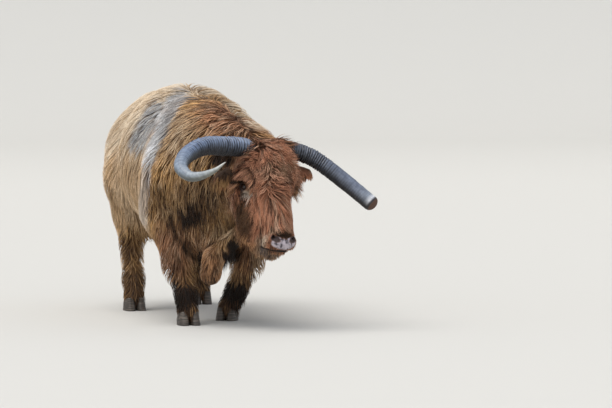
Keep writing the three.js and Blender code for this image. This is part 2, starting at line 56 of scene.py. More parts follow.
TORSO = {  # the middle and the radii of each swelling, out to the tips of the hair
    "shoulders": ((0, 0.070, 0.812), (0.348, 0.350, 0.432)),
    "brisket": ((0, -0.110, 0.545), (0.185, 0.225, 0.195)),
    "barrel": ((0, 0.540, 0.856), (0.370, 0.600, 0.430)),
    "hips": ((0, 1.050, 0.812), (0.330, 0.430, 0.440)),
    "rump": ((0, 1.290, 0.940), (0.250, 0.215, 0.245)),
    "sheath": ((0, 0.800, 0.452), (0.060, 0.170, 0.048)),
    "crest": ((0.004, -0.190, 0.842), (0.284, 0.260, 0.340)),
    "neck": ((0.092, -0.330, 0.822), (0.228, 0.230, 0.292)),
    "nape": ((0.165, -0.440, 0.815), (0.180, 0.165, 0.225)),
}
DEWLAP = [  # x, y, z and radius
    (0.150, -0.500, 0.575, 0.046),
    (0.080, -0.465, 0.500, 0.048),
    (0.005, -0.410, 0.435, 0.050),
    (-0.050, -0.370, 0.355, 0.054),
    (-0.056, -0.350, 0.285, 0.060),
]
THROAT = [(-0.005, -0.250, 0.470, 0.080), (-0.030, -0.320, 0.385, 0.060)]
LEGS = {  # from the shoulder or hip down to the pastern
    "right_fore": [
        (-0.240, -0.060, 0.800, 0.145),
        (-0.232, 0.025, 0.600, 0.128),
        (-0.172, -0.068, 0.365, 0.084),
        (-0.144, -0.128, 0.170, 0.062),
        (-0.137, -0.146, 0.070, 0.061),
    ],
    "left_fore": [
        (0.240, -0.030, 0.800, 0.145),
        (0.242, 0.095, 0.600, 0.128),
        (0.228, 0.006, 0.365, 0.084),
        (0.186, 0.098, 0.170, 0.062),
        (0.142, 0.124, 0.070, 0.061),
    ],
    "right_hind": [
        (-0.150, 1.120, 0.900, 0.190),
        (-0.236, 0.930, 0.735, 0.160),
        (-0.216, 1.085, 0.505, 0.084),
        (-0.215, 0.985, 0.170, 0.062),
        (-0.221, 0.938, 0.070, 0.061),
    ],
    "left_hind": [
        (0.150, 1.140, 0.900, 0.190),
        (0.236, 1.040, 0.735, 0.160),
        (0.216, 1.330, 0.510, 0.084),
        (0.238, 1.368, 0.170, 0.062),
        (0.244, 1.334, 0.070, 0.061),
    ],
}
FEATHERS = {  # the long hair behind each knee and hock
    "right_fore": ((-0.176, -0.044, 0.305), (0.084, 0.098, 0.112)),
    "left_fore": ((0.236, 0.036, 0.308), (0.090, 0.102, 0.114)),
    "right_hind": ((-0.222, 1.040, 0.560), (0.096, 0.118, 0.130)),
    "left_hind": ((0.222, 1.262, 0.570), (0.096, 0.122, 0.130)),
}
# A bare leg, with its thin shank between the knee and the pastern.
SKIN_RADII = (0.116, 0.096, 0.056, 0.038, 0.047, 0.050)
TAIL = [(0, 1.410, 1.120), (0.002, 1.500, 1.080), (0.024, 1.540, 0.930), (0.066, 1.536, 0.700)]
TAIL_TIP = [(0.096, 1.530, 0.480), (0.104, 1.534, 0.300)]


def unit(way):
    """A direction, one long."""
    return np.array(way) / np.linalg.norm(way)


# The head's own axes: across to the animal's left, out of the face, and along from the poll to the nose.
POLL = np.array((0.205, -0.550, 0.960))
ALONG = unit((0.070, -0.428, -0.902))
ACROSS = np.array((0.950, 0.298, -0.080))
ACROSS = unit(ACROSS - ACROSS @ ALONG * ALONG)
HEAD = np.array((ACROSS, np.cross(ALONG, ACROSS), ALONG), np.float32)
EYE = (0.129, -0.082, 0.197)
EYE_RADIUS = 0.020
GAZE = unit((0.75, 0.62, 0.20))
EARS = {  # the line up the middle of each ear, in the head's axes
    -1: [(-0.086, -0.086, 0.098), (-0.176, -0.122, 0.108), (-0.230, -0.148, 0.122), (-0.270, -0.165, 0.143)],
    1: [(0.086, -0.082, 0.096), (0.182, -0.096, 0.098), (0.242, -0.090, 0.094), (0.286, -0.067, 0.102)],
}


def egg(p, centre, radii):
    """Roughly how far points lie outside an egg shape."""
    radii = np.array(radii, np.float32)
    q = (p - np.array(centre, np.float32)) / radii
    scaled = np.linalg.norm(q, axis=1)
    return scaled * (scaled - 1) / (np.linalg.norm(q / radii, axis=1) + 1e-6)


def bone(p, start, end):
    """How far points lie outside a bone that tapers; each end is x, y, z and radius."""
    start, end = np.array(start, np.float32), np.array(end, np.float32)
    line = end[:3] - start[:3]
    t = np.clip((p - start[:3]) @ line / (line @ line), 0, 1)
    gap = p - start[:3] - t[:, None] * line
    return np.sqrt(np.einsum("ij,ij->i", gap, gap)) - start[3] - t * (end[3] - start[3])


def melt(a, b, width):
    """The nearer of two surfaces, with the crease between them filled over the given width."""
    h = np.maximum(width - np.abs(a - b), 0) / width
    return np.minimum(a, b) - h * h * width / 4


def carve(a, b, width):
    """What is left of a when b is cut out of it, with a soft rim."""
    return -melt(-a, b, width)


def chain(p, joints, width):
    """A row of bones."""
    far = bone(p, joints[0], joints[1])
    for a, b in zip(joints[1:], joints[2:]):
        far = melt(far, bone(p, a, b), width)
    return far


def smooth(t):
    """A soft step from 0 to 1 as t goes from 0 to 1."""
    t = np.clip(t, 0, 1)
    return t * t * (3 - 2 * t)


def in_head(p):
    """Points of the body, in the head's axes."""
    return (p - POLL.astype(np.float32)) @ HEAD.T


def from_head(h):
    """Points in the head's axes, in the body's."""
    return np.asarray(h, np.float32) @ HEAD + POLL.astype(np.float32)


def both_sides(h):
    """Points of the head, with its right side folded over onto its left."""
    return np.column_stack((np.abs(h[:, 0]), h[:, 1:]))


def curve_through(points, count):
    """Points along a smooth line through the given ones, as many as asked."""
    points = np.array(points, float)
    points = np.vstack((2 * points[0] - points[1], points, 2 * points[-1] - points[-2]))
    knots = np.concatenate(([0], np.cumsum(np.linalg.norm(np.diff(points, axis=0), axis=1) ** 0.5)))
    out = []
    for t in np.linspace(0, len(points) - 3, count):
        i = min(int(t), len(points) - 4)
        k, p = knots[i : i + 4], points[i : i + 4]
        at = k[1] + (t - i) * (k[2] - k[1])
        for level in (1, 2):
            p = [
                ((k[j + level] - at) * p[j] + (at - k[j]) * p[j + 1]) / (k[j + level] - k[j])
                for j in range(4 - level)
            ]
        out.append(((k[2] - at) * p[0] + (at - k[1]) * p[1]) / (k[2] - k[1]))
    return np.array(out)


# The solid model's origin lies under the middle of its box. Its eyes tie that to the axes used here.
eye_boxes = [np.array([list(c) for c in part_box(side + "_eye")]) for side in ("right", "left")]
eye_middles = [np.mean(box, axis=0) for box in eye_boxes]
HOME = np.mean(eye_middles, axis=0) - from_head((0, EYE[1], EYE[2]))
HOME[2] = 0.0


def face_outline(p):
    """The head out to the tips of its hair, even on both sides but for the hair under the jaw."""
    h = in_head(p)
    side = both_sides(h)
    far = melt(egg(side, (0, -0.050, 0.064), (0.156, 0.122, 0.110)),
               egg(side, (0, 0.005, 0.104), (0.124, 0.082, 0.128)), SOFT_FACE)
    far = melt(far, bone(side, (0, -0.020, 0.210, 0.102), (0, -0.042, 0.445, 0.086)), SOFT_FACE)
    far = melt(far, egg(side, (0.078, 0.000, 0.036), (0.080, 0.080, 0.082)), SOFT_FACE)
    far = melt(far, egg(side, (0.116, -0.038, 0.158), (0.086, 0.084, 0.086)), SOFT_FACE)
    far = melt(far, bone(side, (0.081, -0.132, 0.195, 0.100), (0.062, -0.145, 0.385, 0.092)), SOFT_FACE)
    far = melt(far, bone(side, (0.046, -0.165, 0.290, 0.090), (0.042, -0.208, 0.430, 0.094)), SOFT_FACE)
    far = carve(far, eye_hollow(side), 0.020)
    far = melt(far, muzzle(side, 0), SOFT_FACE)
    return melt(far, egg(h, (-0.004, -0.136, 0.508), (0.062, 0.056, 0.060)), 0.012)


def eye_hollow(side):
    """How far points lie outside the hollow that opens from each eye along its gaze."""
    rel = side - np.array(EYE, np.float32)
    before = rel @ GAZE.astype(np.float32)
    aside = np.linalg.norm(rel - before[:, None] * GAZE.astype(np.float32), axis=1)
    return np.where(before > 0, aside - 0.022 - 0.19 * before, np.hypot(aside, before) - 0.022)


def muzzle(side, inset):
    """The nose and the lips, drawn in from the hair's tips by the inset."""
    far = egg(side, (0, -0.052, 0.515), (0.092 - inset, 0.066 - inset, 0.062 - inset))
    far = melt(far, egg(side, (0, -0.030, 0.535), (0.064, 0.042 - inset, 0.043 - inset)), 0.018)
    return melt(far, egg(side, (0.047, -0.024, 0.520), (0.036, 0.038 - inset, 0.038 - inset)), 0.016)


def torso(p):
    """How far points lie outside the neck, trunk and rump, out to the tips of the coat."""
    far = np.full(len(p), 10.0, np.float32)
    for centre, radii in TORSO.values():
        far = melt(far, egg(p, centre, radii), SOFT_BODY)
    return far


def outline(p):
    """How far points lie outside the tips of the coat, all but the ears and the tail."""
    far = torso(p)
    for name, joints in LEGS.items():
        far = melt(far, melt(chain(p, joints, SOFT_LEG), egg(p, *FEATHERS[name]), SOFT_LEG), SOFT_BODY)
    far = melt(far, melt(chain(p, DEWLAP, 0.030), bone(p, *THROAT), 0.030), 0.034)
    return melt(far, face_outline(p), 0.030)


def bare_face(p):
    """The skull, jaw and muzzle under the skin, with lids, nostrils and the line of the mouth."""
    h = in_head(p)
    side = both_sides(h)
    far = melt(egg(side, (0, -0.052, 0.066), (0.118, 0.088, 0.088)),
               egg(side, (0, -0.010, 0.105), (0.096, 0.060, 0.108)), 0.030)
    far = melt(far, bone(side, (0, -0.036, 0.210, 0.070), (0, -0.048, 0.440, 0.058)), 0.030)
    far = melt(far, bone(side, (0.062, -0.120, 0.185, 0.068), (0.042, -0.106, 0.420, 0.046)), 0.030)
    far = melt(far, bone(side, (0.034, -0.168, 0.240, 0.046), (0.020, -0.140, 0.460, 0.036)), 0.024)
    far = melt(far, bone(side, (0.078, -0.070, 0.285, 0.024), (0.060, -0.085, 0.360, 0.016)), 0.020)
    far = melt(far, bone(h, (0, -0.165, 0.290, 0.062), (-0.012, -0.188, 0.435, 0.046)), 0.030)
    far = melt(far, bone(h, (-0.010, -0.176, 0.430, 0.044), (0, -0.140, 0.515, 0.048)), 0.030)
    far = melt(far, egg(side, (0.096, -0.060, 0.184), (0.042, 0.062, 0.066)), 0.040)
    far = melt(far, egg(side, EYE, (0.0262, 0.0262, 0.0290)), 0.020)
    far = melt(far, muzzle(side, 0.003), 0.020)
    far = melt(far, egg(side, (0, -0.134, 0.518), (0.058, 0.051, 0.055)), 0.008)
    socket = (side - np.array(EYE, np.float32)) @ SOCKET.T
    far = carve(far, egg(socket, (0.024, 0, 0), (0.024, 0.0142, 0.0205)), 0.004)
    far = carve(far, chain(side, NOSTRIL, 0.006), 0.004)
    far = carve(far, mouth_line(side), 0.005)
    return melt(far, ears(h), 0.014)


def mouth_line(side):
    """How far points lie outside the slit between the lips, which rises a little towards the cheeks."""
    rel = side - np.array((0, -0.094, 0.538), np.float32)
    level, upright = math.cos(LIP_TILT), math.sin(LIP_TILT)
    leaning = np.column_stack((rel[:, 0], rel[:, 1] * level - rel[:, 2] * upright,
                               rel[:, 1] * upright + rel[:, 2] * level))
    return egg(leaning, (0, 0, 0), (0.100, 0.0038, 0.080))


def pad_at(h):
    """1 on the bare pad of the nose, 0 away from it."""
    side = np.abs(h[:, 0])
    top = smooth((h[:, 2] - 0.526 + 0.30 * side) / 0.006)
    return top * smooth((h[:, 1] + 0.022) / 0.007) * smooth((0.076 - side) / 0.008) * (h[:, 1] > -0.03)


LIP_TILT = 1.0  # in radians, from straight out of the face
# Rows: out through the pupil, across the slit between the lids, and along the slit.
slit = unit(np.array((-0.40, 0.25, 0.88)) - GAZE * (GAZE @ (-0.40, 0.25, 0.88)))
SOCKET = np.array((GAZE, np.cross(slit, GAZE), slit), np.float32)
NOSTRIL = [(0.034, 0.018, 0.540, 0.0090), (0.048, 0.014, 0.531, 0.0145), (0.063, 0.002, 0.522, 0.0100),
           (0.050, -0.018, 0.492, 0.0100)]


def ears(h):
    """Two leaves, hollowed towards the front and downwards."""
    far = np.full(len(h), 10.0, np.float32)
    for line in EARS.values():
        middle = curve_through(line, 9).astype(np.float32)
        length = np.linalg.norm(middle[-1] - middle[0])
        way = (middle[-1] - middle[0]) / length
        broad = np.array((0, 0, 1), np.float32) - way * way[2]
        broad /= np.linalg.norm(broad)
        thick = np.cross(way, broad)
        reach = (h - middle[0]) @ way
        s = np.clip(reach / length, 0, 1)
        at = (middle - middle[0]) @ way / length
        rel = h - middle[0]
        u = rel @ broad - np.interp(s, at, (middle - middle[0]) @ broad)
        v = rel @ thick - np.interp(s, at, (middle - middle[0]) @ thick)
        half = 0.014 + 0.036 * np.sin(math.pi * np.minimum(1, 0.12 + 0.86 * s)) ** 0.8
        deep = 0.0065 + 0.006 * (1 - s)
        v = v - 0.34 * half * np.sign(thick[1]) * (1 - np.minimum((u / half) ** 2, 1.6))
        leaf = (np.hypot(u / half, v / deep) - 1) * deep
        far = np.minimum(far, carve(leaf, np.minimum(reach + 0.004, length - reach), 0.006))
    return far.astype(np.float32)


def bare(p):
    """How far points lie outside the hide."""
    far = torso(p) + 0.042
    for joints in LEGS.values():
        shank = tuple(np.add(joints[2], joints[3]) * 0.5)
        line = [j[:3] + (r,) for j, r in zip([*joints[:3], shank, *joints[3:]], SKIN_RADII)]
        far = melt(far, chain(p, line, SOFT_LEG), 0.070)
    far = melt(far, chain(p, [j[:3] + (j[3] - 0.015,) for j in DEWLAP], 0.026), 0.030)
    far = melt(far, bone(p, *[j[:3] + (j[3] - 0.018,) for j in THROAT]), 0.030)
    tail = curve_through(TAIL + TAIL_TIP, 11)[:9]
    radii = np.linspace(0.026, 0.012, 9)
    far = melt(far, chain(p, [(*c, r) for c, r in zip(tail, radii)], 0.010), 0.040)
    return melt(far, bare_face(p), 0.040)


def slope(field, p, reach=0.003):
    """The direction in which a field grows fastest, its value, and how steep it is."""
    here = field(p)
    grown = [field(p + np.array(step, np.float32)) - here for step in np.eye(3) * reach]
    way = np.column_stack(grown) / reach
    steep = np.linalg.norm(way, axis=1) + 1e-6
    return way / steep[:, None], here, steep


def settle(field, p, rounds=2, most=0.006):
    """Points moved onto the surface where a field is zero."""
    for _ in range(rounds):
        way, here, steep = slope(field, p)
        p = p - way * np.clip(here / np.maximum(steep, 0.25), -most, most)[:, None]
    return p


SQUARE = ((0, 0), (1, 0), (1, 1), (0, 1))  # the corners of a cell's side, in turn
SPARSE = 4  # the field is first read at every fourth corner, and then near the surface alone


def untangle(values):
    """Turns over the weakest corner of each square whose corners alternate, where two sheets would touch."""
    for _ in range(4):
        for k in range(3):
            sides = [i for i in range(3) if i != k]
            found = []
            for a, b in SQUARE:
                cut = [slice(None)] * 3
                cut[sides[0]] = slice(a, values.shape[sides[0]] - 1 + a)
                cut[sides[1]] = slice(b, values.shape[sides[1]] - 1 + b)
                found.append(values[tuple(cut)])
            ins = [f < 0 for f in found]
            mixed = np.argwhere((ins[0] == ins[2]) & (ins[1] == ins[3]) & (ins[0] != ins[1]))
            for at in mixed:
                corners = []
                for a, b in SQUARE:
                    corner = at.copy()
                    corner[sides[0]] += a
                    corner[sides[1]] += b
                    corners.append(tuple(corner))
                weakest = min(corners, key=lambda c: abs(values[c]))
                values[weakest] = -math.copysign(1e-5, values[weakest])


def cells_round(where, around, order):
    """The four cells that share each edge of the grid, in the given order round it."""
    cells = []
    for a, b in order:
        cell = where.copy()
        cell[:, around[0]] -= a
        cell[:, around[1]] -= b
        cells.append(cell)
    return cells


def stretch_over(field, low, high, cell):
    """Corners and four-sided faces over the surface where a field is zero, inside a box of cells."""
    counts = [int(math.ceil((b - a) / cell / SPARSE)) * SPARSE + 1 for a, b in zip(low, high)]
    axes = [a + cell * np.arange(n, dtype=np.float32) for a, n in zip(low, counts)]
    sparse = [axis[::SPARSE] for axis in axes]
    grid = np.stack(np.meshgrid(*sparse, indexing="ij"), -1).reshape(-1, 3)
    rough = field(grid).reshape([len(a) for a in sparse])
    at_sparse = [(np.arange(n) + SPARSE // 2) // SPARSE for n in counts]
    nearest = np.ix_(*[np.minimum(at, len(a) - 1) for at, a in zip(at_sparse, sparse)])
    values = rough[nearest].copy()
    close = np.argwhere(np.abs(values) < 9 * cell)
    parts = [np.stack([axes[i][part[:, i]] for i in range(3)], -1) for part in np.array_split(close, 12)]
    values[tuple(close.T)] = np.concatenate([field(part) for part in parts])
    untangle(values)
    shape = values.shape
    inside = values < 0
    cells = tuple(n - 1 for n in shape)
    total, hits = np.zeros(cells + (3,), np.float32), np.zeros(cells, np.float32)
    crossings = []
    for k in range(3):
        first = tuple(slice(0, -1) if i == k else slice(None) for i in range(3))
        second = tuple(slice(1, None) if i == k else slice(None) for i in range(3))
        crossed = inside[first] != inside[second]
        where = np.argwhere(crossed)
        v0, v1 = values[first][crossed], values[second][crossed]
        points = np.stack([axes[i][where[:, i]] for i in range(3)], -1)
        points[:, k] += cell * v0 / (v0 - v1)
        around = [i for i in range(3) if i != k]
        for at in cells_round(where, around, ((0, 0), (0, 1), (1, 0), (1, 1))):
            good = np.all((at >= 0) & (at < np.array(cells)), axis=1)
            flat = np.ravel_multi_index(tuple(at[good].T), cells)
            np.add.at(total.reshape(-1, 3), flat, points[good])
            np.add.at(hits.reshape(-1), flat, 1)
        crossings.append((k, around, where, v0 < 0))
    used = hits.reshape(-1) > 0
    number = np.cumsum(used) - 1
    corners = total.reshape(-1, 3)[used] / hits.reshape(-1)[used][:, None]
    faces = []
    for k, around, where, starts_inside in crossings:
        at = cells_round(where, around, ((1, 1), (0, 1), (0, 0), (1, 0)))
        good = np.all([np.all((c >= 0) & (c < np.array(cells)), axis=1) for c in at], axis=0)
        quad = np.stack([number[np.ravel_multi_index(tuple(c[good].T), cells)] for c in at], -1)
        turn = starts_inside[good] != (k == 1)
        quad[~turn] = quad[~turn][:, ::-1]
        faces.append(quad)
    return corners, np.concatenate(faces)


def mesh_of(name, corners, faces):
    """A mesh from arrays of corners and of faces that all have the same number of sides."""
    mesh = bpy.data.meshes.new(name)
    mesh.vertices.add(len(corners))
    mesh.vertices.foreach_set("co", np.asarray(corners, np.float32).ravel())
    sides = faces.shape[1]
    mesh.loops.add(faces.size)
    mesh.loops.foreach_set("vertex_index", faces.astype(np.int32).ravel())
    mesh.polygons.add(len(faces))
    mesh.polygons.foreach_set("loop_start", np.arange(len(faces), dtype=np.int32) * sides)
    mesh.update(calc_edges=True)
    mesh.validate()
    return mesh


# The body is coarse and the head fine, and a narrow band of faces on the neck sews one to the other.
SEAM = Vector((0.158, -0.440, 0.820))
SEAM_WAY = Vector((0.45, -0.87, -0.20)).normalized()
HALF_BAND = 0.005


def half_of(field, low, high, cell, side):
    """The part of a surface that lies on one side of the neck's seam, as a bmesh."""
    half = bmesh.new()
    mesh = mesh_of("half_hide", *stretch_over(field, low, high, cell))
    half.from_mesh(mesh)
    bpy.data.meshes.remove(mesh)
    bmesh.ops.bisect_plane(half, geom=half.verts[:] + half.edges[:] + half.faces[:], clear_outer=True,
                           plane_co=SEAM + side * HALF_BAND * SEAM_WAY, plane_no=-side * SEAM_WAY)
    return half


def open_loops(shape):
    """The rings of edges that have a face on one side only, each with its middle."""
    left = dict.fromkeys(e for e in shape.edges if len(e.link_faces) == 1)
    rings = []
    while left:
        ring, ends = [], [left.popitem()[0]]
        while ends:
            edge = ends.pop()
            ring.append(edge)
            for vert in edge.verts:
                for other in vert.link_edges:
                    if other in left:
                        del left[other]
                        ends.append(other)
        rings.append((sum((e.verts[0].co for e in ring), Vector()) / len(ring), ring))
    return rings


hide_shape = half_of(bare, (-0.45, -0.62, 0.045), (0.45, 1.62, 1.32), BODY_CELL, -1)
head_shape = half_of(bare, (-0.16, -0.92, 0.36), (0.56, -0.30, 1.12), HEAD_CELL, 1)
loose = bpy.data.meshes.new("head_hide")
head_shape.to_mesh(loose)
hide_shape.from_mesh(loose)
bpy.data.meshes.remove(loose)
rings = open_loops(hide_shape)
at_seam = [r for r in rings if abs((r[0] - SEAM).dot(SEAM_WAY)) < 4 * HALF_BAND and r[0].z > 0.3]
# Smallest ring first, each with its nearest. Known fault: the right ear's tip also crosses the cut and
# makes a fifth ring. It takes the head's neck ring, in long faces, so the body's neck ring is capped.
at_seam.sort(key=lambda r: len(r[1]), reverse=True)
while len(at_seam) > 1:
    middle, ring = at_seam.pop()
    mate = min(at_seam, key=lambda r: (r[0] - middle).length)
    at_seam.remove(mate)
    bmesh.ops.bridge_loops(hide_shape, edges=ring + mate[1])
bmesh.ops.holes_fill(hide_shape, edges=[e for e in hide_shape.edges if len(e.link_faces) == 1], sides=0)
bmesh.ops.triangulate(hide_shape, faces=[f for f in hide_shape.faces if len(f.verts) > 4])

# The lids, nostrils and lips need a finer mesh still.
FINE_SPOTS = [
    (EYE, 0.036),
    ((0.050, 0.010, 0.528), 0.030),
    ((0, -0.050, 0.575), 0.050),
    ((0.060, -0.100, 0.530), 0.040),
]


def is_fine(face):
    """Whether a face of the hide lies near a lid, a nostril or the lips."""
    middle = both_sides(in_head(np.array([face.calc_center_median()], np.float32)))[0]
    return any(np.linalg.norm(np.subtract(middle, at)) < reach for at, reach in FINE_SPOTS)


fine_faces = [f for f in hide_shape.faces if f.calc_area() < 4 * HEAD_CELL**2 and is_fine(f)]
fine_edges = list(dict.fromkeys(e for f in fine_faces for e in f.edges))
bmesh.ops.subdivide_edges(hide_shape, edges=fine_edges, cuts=1, use_grid_fill=True)
bmesh.ops.triangulate(hide_shape, faces=[f for f in hide_shape.faces if len(f.verts) > 4])
for vert in hide_shape.verts:
    vert.select = False
hide_mesh = bpy.data.meshes.new("hide")
hide_shape.to_mesh(hide_mesh)
hide_shape.free()
head_shape.free()
corners = np.empty(len(hide_mesh.vertices) * 3, np.float32)
hide_mesh.vertices.foreach_get("co", corners)
corners = corners.reshape(-1, 3)
cut_flat = corners[:, 2] < 0.050  # the ends of the legs, inside the hooves
corners = np.where(cut_flat[:, None], corners, settle(bare, corners))
hide_mesh.vertices.foreach_set("co", corners.ravel())
hide_mesh.update()

# What the coat is like over each part of the body, for the hide and the hair alike.
GREY_BANDS = [  # across the right shoulder, and up: where the winter coat has come away
    [(-0.150, 1.225), (-0.203, 1.130), (-0.252, 1.020), (-0.290, 0.930)],
    [(-0.275, 1.140), (-0.335, 1.050), (-0.390, 0.945)],
]
WHITE_STREAK = [(-0.240, 1.110), (-0.284, 0.985), (-0.316, 0.870), (-0.332, 0.770),
                (-0.343, 0.640), (-0.346, 0.560)]
RED_PLACES = [  # the middle, the radii and how strong
    ((0.080, -0.330, 1.120), (0.300, 0.400, 0.240), 0.80),  # the hump
    ((-0.060, -0.360, 0.300), (0.130, 0.180, 0.240), 0.60),  # the dewlap
    ((-0.215, -0.140, 0.400), (0.160, 0.220, 0.260), 0.80),  # the right foreleg
    ((-0.110, -0.260, 0.430), (0.140, 0.200, 0.160), 0.60),  # between it and the dewlap
    ((0.225, 0.020, 0.400), (0.160, 0.220, 0.240), 0.75),  # the left foreleg
]
# Dark hair, and painted shade in hollows and between the legs; each gives the middle, the radii and how
# strong.
DARK_AND_SHADED_PLACES = [  # from 1 up it is nearly black
    ((-0.150, -0.390, 0.700), (0.260, 0.260, 0.250), 0.86),  # the right side of the neck
    # Painted shade in the hollow before the right shoulder.
    ((-0.172, -0.305, 0.590), (0.150, 0.190, 0.145), 1.12),  # the hollow before the right shoulder
    # Painted shadow, nearly black, between the forelegs and behind the dewlap.
    ((0.060, -0.230, 0.430), (0.130, 0.160, 0.150), 1.40),  # between the forelegs
    ((0.054, -0.430, 0.420), (0.094, 0.160, 0.130), 1.40),
    # Dark hair on the fore pasterns, with painted shadow under the long hair of the legs.
    ((-0.160, -0.130, 0.128), (0.150, 0.190, 0.140), 1.28),  # the fore pasterns
    ((0.170, 0.100, 0.128), (0.150, 0.190, 0.140), 1.28),
    ((-0.058, -0.350, 0.235), (0.090, 0.110, 0.060), 0.90),  # the foot of the dewlap
    ((-0.250, -0.060, 0.930), (0.200, 0.260, 0.300), 0.30),  # the point of the shoulder
    ((-0.226, 0.961, 0.330), (0.130, 0.150, 0.140), 0.80),  # below the hocks
    ((0.226, 1.340, 0.330), (0.130, 0.150, 0.140), 0.80),
]
# Dark hair, and painted shade, on the head.
DARK_AND_SHADED_ON_HEAD = [  # the same in the head's axes, on both sides
    ((0.160, -0.142, 0.365), (0.105, 0.150, 0.170), 0.97),  # the cheek
    # Dark short hair over the nose pad, with painted shadow under the tips of the nose hair.
    ((0.010, 0.022, 0.500), (0.066, 0.050, 0.040), 1.05),  # over the nose pad
    ((0, -0.136, 0.520), (0.110, 0.080, 0.095), 1.12),  # the chin
    ((0.030, -0.215, 0.430), (0.150, 0.100, 0.160), 0.50),  # the beard
    ((0.150, -0.020, -0.030), (0.130, 0.120, 0.050), 0.75),  # round the horns' roots
]
# Painted shade under the right ear.
SHADE_UNDER_RIGHT_EAR = ((-0.210, -0.140, 0.120), (0.130, 0.110, 0.090), 1.05)
PALE_PLACES = [
    ((-0.250, -0.200, 1.040), (0.200, 0.300, 0.200), 0.62),  # over the right shoulder
    ((0.190, -0.090, 1.150), (0.140, 0.300, 0.115), 1.00),  # the left rim of the hump
    ((0.185, -0.390, 1.100), (0.085, 0.160, 0.095), 1.00),
    ((0.275, -0.070, 0.310), (0.065, 0.130, 0.150), 0.70),  # the outside of the left foreleg
]
# Painted highlight on the top of the dewlap's fold, which is made paler and less dark.
LIT_TOP_OF_DEWLAP = ((-0.014, -0.420, 0.508), (0.088, 0.150, 0.080))
DEEP_PLACES = [  # where no light comes: behind the dewlap, on its left edge, and under the right horn
    ((0.130, -0.050, 0.370), (0.080, 0.140, 0.075)),
    ((0.045, -0.455, 0.410), (0.050, 0.090, 0.070)),
    ((-0.030, -0.515, 0.895), (0.095, 0.160, 0.070)),
]
# Painted shade along a crease over the right forearm.
FOREARM_CREASE_SHADE = [(-0.236, 0.570), (-0.200, 0.462), (-0.152, 0.402), (-0.095, 0.346)]  # across and up
# Painted shadow under the overhanging brow, and painted shade in the fold under the eye: across the eye, and
# down it.
BROW_SHADOW = [(-0.072, -0.022), (-0.035, -0.027), (-0.003, -0.025), (0.044, -0.016)]
CHEEK_CREASE_SHADE = [(-0.048, 0.092), (-0.019, 0.110), (0.021, 0.096)]
ROUND_EYE = np.array(((-0.87, 0.469, 0.155), (-0.08, -0.4275, 0.902), (0.488, 0.789, 0.369)), np.float32)


def ripple(p, size, seed):
    """A smooth, seamless unevenness from about -1 to 1, with swells of roughly the given size."""
    rng = np.random.default_rng(seed)
    total = np.zeros(len(p), np.float32)
    for _ in range(6):
        way = rng.normal(size=3)
        way *= 2 * math.pi / (size * rng.uniform(0.75, 1.5)) / np.linalg.norm(way)
        total += np.sin(p @ way.astype(np.float32) + rng.uniform(0, 6.28))
    return total / 3


def near_line(u, v, line):
    """How far points of a plane are from a row of straight lines."""
    best = np.full(len(u), 10.0)
    for (au, av), (bu, bv) in zip(line, line[1:]):
        du, dv = bu - au, bv - av
        t = np.clip(((u - au) * du + (v - av) * dv) / (du * du + dv * dv), 0, 1)
        best = np.minimum(best, np.hypot(u - au - t * du, v - av - t * dv))
    return best


def spot(p, centre, radii):
    """1 in the middle of an egg-shaped patch, fading to 0 at its edge."""
    q = np.linalg.norm((p - np.array(centre, np.float32)) / np.array(radii, np.float32), axis=1)
    return smooth((1.0 - q) * 1.6)


def patches(base, p, places, weight=1.0):
    """The base, or a patch where that is stronger; each place gives a middle, radii and a strength."""
    for centre, radii, strength in places:
        base = np.maximum(base, weight * strength * spot(p, centre, radii))
    return base


def by_the_eye(side):
    """Across the eye from its outer corner, down it, and whether a point is close in front or behind."""
    rel = (side - np.array(EYE, np.float32)) @ ROUND_EYE.T
    return rel[:, 0], rel[:, 1], np.abs(rel[:, 2]) < 0.07


def shade_in_folds(p):
    """How deep points lie in the folds and hollows of the coat, from 0 to 1, for the painted shade there."""
    u, v, near = by_the_eye(both_sides(in_head(p)))
    on_forearm = (p[:, 1] < 0.04) * (p[:, 1] > -0.30)
    deep = smooth((0.020 - near_line(p[:, 0], p[:, 2], FOREARM_CREASE_SHADE)) / 0.016) * on_forearm
    deep = np.maximum(deep, smooth((0.012 - near_line(u, v, BROW_SHADOW)) / 0.007) * near)
    deep = np.maximum(deep, 0.8 * smooth((0.011 - near_line(u, v, CHEEK_CREASE_SHADE)) / 0.009) * near)
    for centre, radii in DEEP_PLACES:
        deep = np.maximum(deep, spot(p, centre, radii))
    return deep


